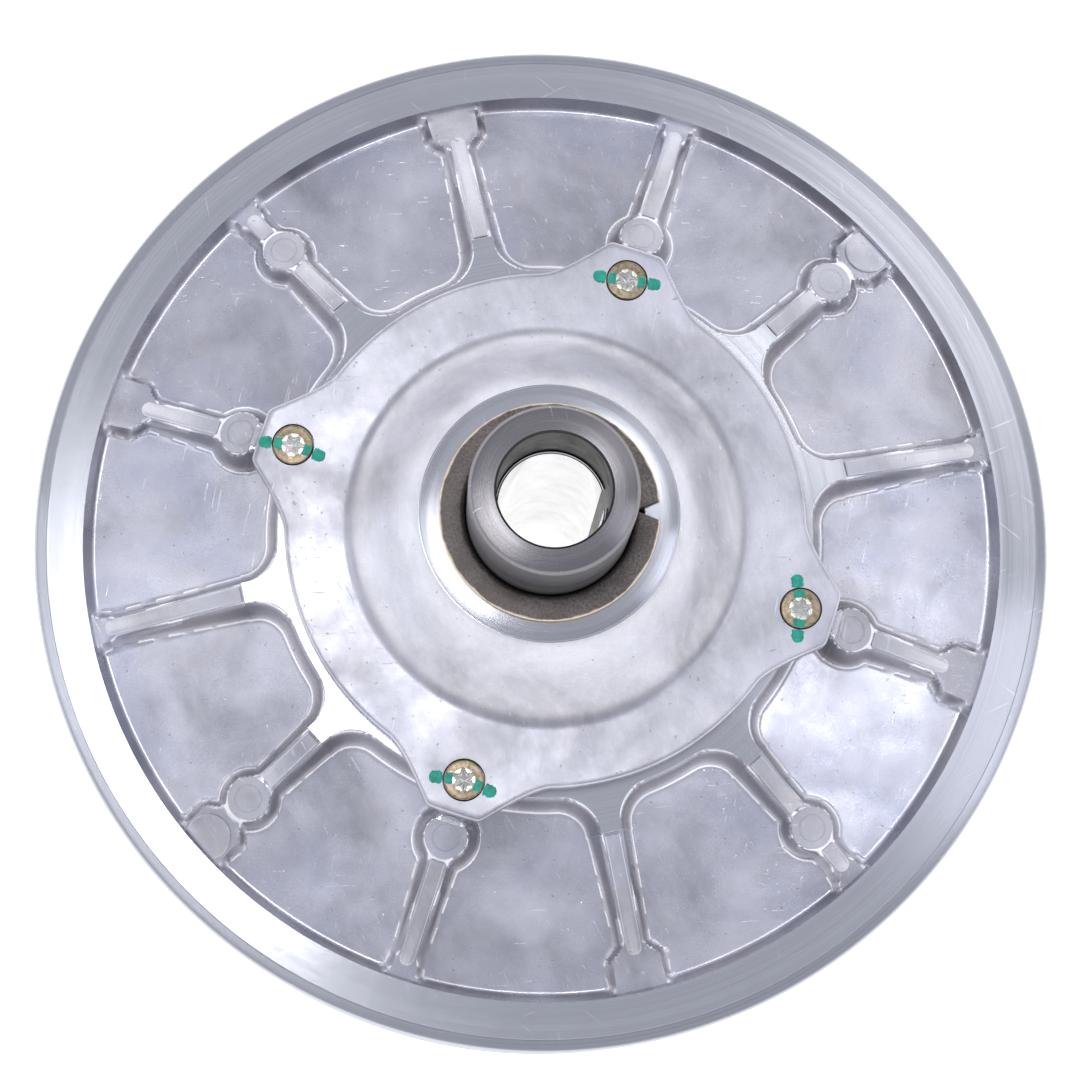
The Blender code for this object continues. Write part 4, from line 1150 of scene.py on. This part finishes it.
def make_camera():
    """Looks almost along the post, from a little below and left of it, as in the reference view."""
    tilt = math.radians(9.9)
    lean = Vector((-0.209, -0.978, 0.0)).normalized()
    target = Vector((0.0, 0.0, GROOVE_MIDDLE + GROOVE_RIM_HALF))
    distance = 0.860
    direction = lean * math.sin(tilt) + Vector((0.0, 0.0, math.cos(tilt)))
    camera_data = bpy.data.cameras.new("camera")
    camera = add_object("camera", camera_data)
    camera.location = target + direction * distance
    back = direction.normalized()
    right = Vector((0.0, 1.0, 0.0)).cross(back).normalized()
    up = back.cross(right)
    camera.rotation_euler = Matrix((right, up, back)).transposed().to_euler()
    camera_data.lens = 102.6
    camera_data.sensor_width = 36.0
    camera_data.clip_start = 0.01
    bpy.context.scene.camera = camera


def panel(name, azimuth, from_zenith, distance, size, radiance, color):
    """Rectangular soft light that faces the part, seen from it at an azimuth and angle from +Z."""
    data = bpy.data.lights.new(name, "AREA")
    data.shape = "RECTANGLE"
    data.size = size[0]
    data.size_y = size[1]
    data.energy = radiance * math.pi * size[0] * size[1]
    data.color = color
    light = add_object(name, data)
    tilt = math.radians(from_zenith)
    x, y = at_angle(math.sin(tilt), math.radians(azimuth))
    away = Vector((x, y, math.cos(tilt)))
    light.location = Vector((0.0, 0.0, 0.07)) + away * distance
    light.rotation_euler = away.to_track_quat("Z", "Y").to_euler()


def make_lights():
    white = (1.0, 1.0, 1.0)
    cool = (0.90, 0.92, 1.0)
    panel("key", 145.0, 8.0, 1.30, (0.26, 0.22), 9.5, white)
    panel("left", 174.0, 36.0, 1.40, (0.40, 0.50), 0.7, cool)
    panel("top_right", 44.0, 40.0, 1.40, (0.50, 0.45), 0.35, white)
    panel("right", 0.0, 25.0, 1.40, (0.32, 0.34), 2.6, cool)
    panel("ceiling", 80.0, 12.0, 1.60, (0.9, 0.9), 0.30, white)


def make_world():
    world = bpy.data.worlds.new("studio")
    bpy.context.scene.world = world
    world.use_nodes = True
    nodes = world.node_tree.nodes
    links = world.node_tree.links
    place = nodes.new("ShaderNodeTexCoord")
    split = nodes.new("ShaderNodeSeparateXYZ")
    links.new(place.outputs["Generated"], split.inputs[0])
    fade = nodes.new("ShaderNodeValToRGB")
    links.new(split.outputs[2], fade.inputs[0])
    horizon, zenith = fade.color_ramp.elements
    horizon.position = 0.42
    horizon.color = (1.0, 1.0, 1.0, 1.0)
    zenith.position = 0.85
    zenith.color = (0.31, 0.32, 0.365, 1.0)
    dark_band = fade.color_ramp.elements.new(0.56)
    dark_band.color = (0.30, 0.30, 0.33, 1.0)
    links.new(fade.outputs["Color"], nodes["Background"].inputs["Color"])
    nodes["Background"].inputs["Strength"].default_value = 1.5


def make_floor():
    size = 3.0
    corners = [(-size, -size, 0.0), (size, -size, 0.0), (size, size, 0.0), (-size, size, 0.0)]
    floor = link_mesh("floor", corners, [(0, 1, 2, 3)], smooth=False)
    floor.location = (0.0, 0.0, cad_low.z)
    s = Shading("floor_white", 0.6, 0.0)
    s.color(s.ramp(s.noise(3.0, 2.0, 0.5), (0.4, (0.88, 0.88, 0.88)), (0.6, (0.92, 0.92, 0.92))))
    s.shader.inputs["Emission Color"].default_value = (1.0, 1.0, 1.0, 1.0)
    s.shader.inputs["Emission Strength"].default_value = 0.90
    give(floor, s.material)


# ---------------------------------------------------------------- assembly

def place_piece(piece, body, materials, nodes=()):
    """Gives a piece its materials and says what it rides on, is made of and stands for."""
    give(piece, *materials)
    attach(piece, body)
    if nodes:
        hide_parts(*nodes)


def main():
    bpy.context.scene.view_settings.view_transform = "Standard"
    make_camera()
    make_world()
    make_lights()
    make_floor()

    # The last number of each casting is its share of painted shade on its walls.
    casting = cast_aluminium("pocket_casting", (0.77, 0.77, 0.84), 0.20, 0.27, 0.96, 0.62)
    rough_casting = cast_aluminium("rib_casting", (0.66, 0.66, 0.72), 0.14, 0.42, 0.90, 0.30)
    cover_skin = cast_aluminium("cover_casting", (0.57, 0.57, 0.63), 0.10, 0.37, 0.85, 0.0)
    turned_aluminium = turned_metal("turned_aluminium", (0.50, 0.51, 0.555), 0.20, 1.0, 0.10)
    turned_steel = turned_metal("turned_steel", (0.24, 0.23, 0.245), 0.25, 0.98, 0.15)
    dark_steel = turned_metal("dark_steel", (0.20, 0.195, 0.20), 0.30, 0.80, 0.20)
    black = plain_metal("black_oxide_and_painted_mouth_shade", (0.055, 0.053, 0.055), 0.42)
    polished = plain_metal("polished_bore", (0.92, 0.92, 0.92), 0.12)

    skins = (casting, turned_aluminium)
    place_piece(make_movable_sheave(), "sliding_sheave", skins, ["movable_sheave"])
    place_piece(make_rib_details(), "sliding_sheave", [rough_casting])
    place_piece(make_ejector_marks(), "sliding_sheave", [rough_casting])
    place_piece(make_hub_face(), "sliding_sheave", [turned_aluminium])
    place_piece(make_fixed_sheave(), "post", skins, ["fixed_sheave"])
    skins = (cover_skin, turned_aluminium)
    place_piece(make_cover(), "sliding_sheave", skins, ["cover"])
    bush_layer = bush_metal("bush_layer")
    place_piece(make_cover_bush(), "sliding_sheave", [bush_layer], ["cover_bush"])
    # The near-black third material is painted shade on the post's mouth wall; on the retaining ring and
    # flange screws it is their black oxide.
    skins = (turned_steel, dark_steel, black, polished)
    place_piece(make_post(), "post", skins, ["post_shaft"])

    skins = (yellow_zinc("yellow_zinc"), plain_metal("worn_socket", (0.85, 0.86, 0.80), 0.22))
    for number, screw in enumerate(make_cover_screws()):
        place_piece(screw, "sliding_sheave", skins, [f"cover_screw_{number + 1}"])

    paint = marking_paint("green_marking_paint")
    strokes = ((-8.0, (0.0, 0.0)), (-14.0, (0.15, -0.15)), (-12.0, (0.1, -0.2)), (88.0, (-0.1, 0.15)))
    for number, angle in enumerate(around(SCREW_COUNT, FIRST_SCREW_ANGLE)):
        stroke, bends = strokes[number]
        mark = make_paint_mark(number + 1, angle, math.radians(stroke), bends)
        place_piece(mark, "sliding_sheave", [paint])

    spring = make_spring()
    wire = plain_metal("spring_wire", (0.30, 0.31, 0.33), 0.35)
    place_piece(spring, "post", [wire], ["spring"])
    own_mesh(spring)

    steel = plain_metal("bright_steel", (0.50, 0.50, 0.51), 0.30)
    polymer = moulded_polymer("filled_polymer")
    sliding = bush_metal("sheave_bush_layer")
    by_node = {"sheave_bush": sliding, "helix_ring": steel, "spring_seat": steel,
               "retaining_ring": black, "spring_washer": polymer, "spider": casting}
    for number in range(1, 4):
        by_node[f"roller_{number}"] = polymer
        by_node[f"roller_pin_{number}"] = steel
        by_node[f"roller_washer_{number}"] = steel
    for number in range(1, 7):
        by_node[f"flange_screw_{number}"] = black
    for node, material in by_node.items():
        give(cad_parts[node], material)


main()
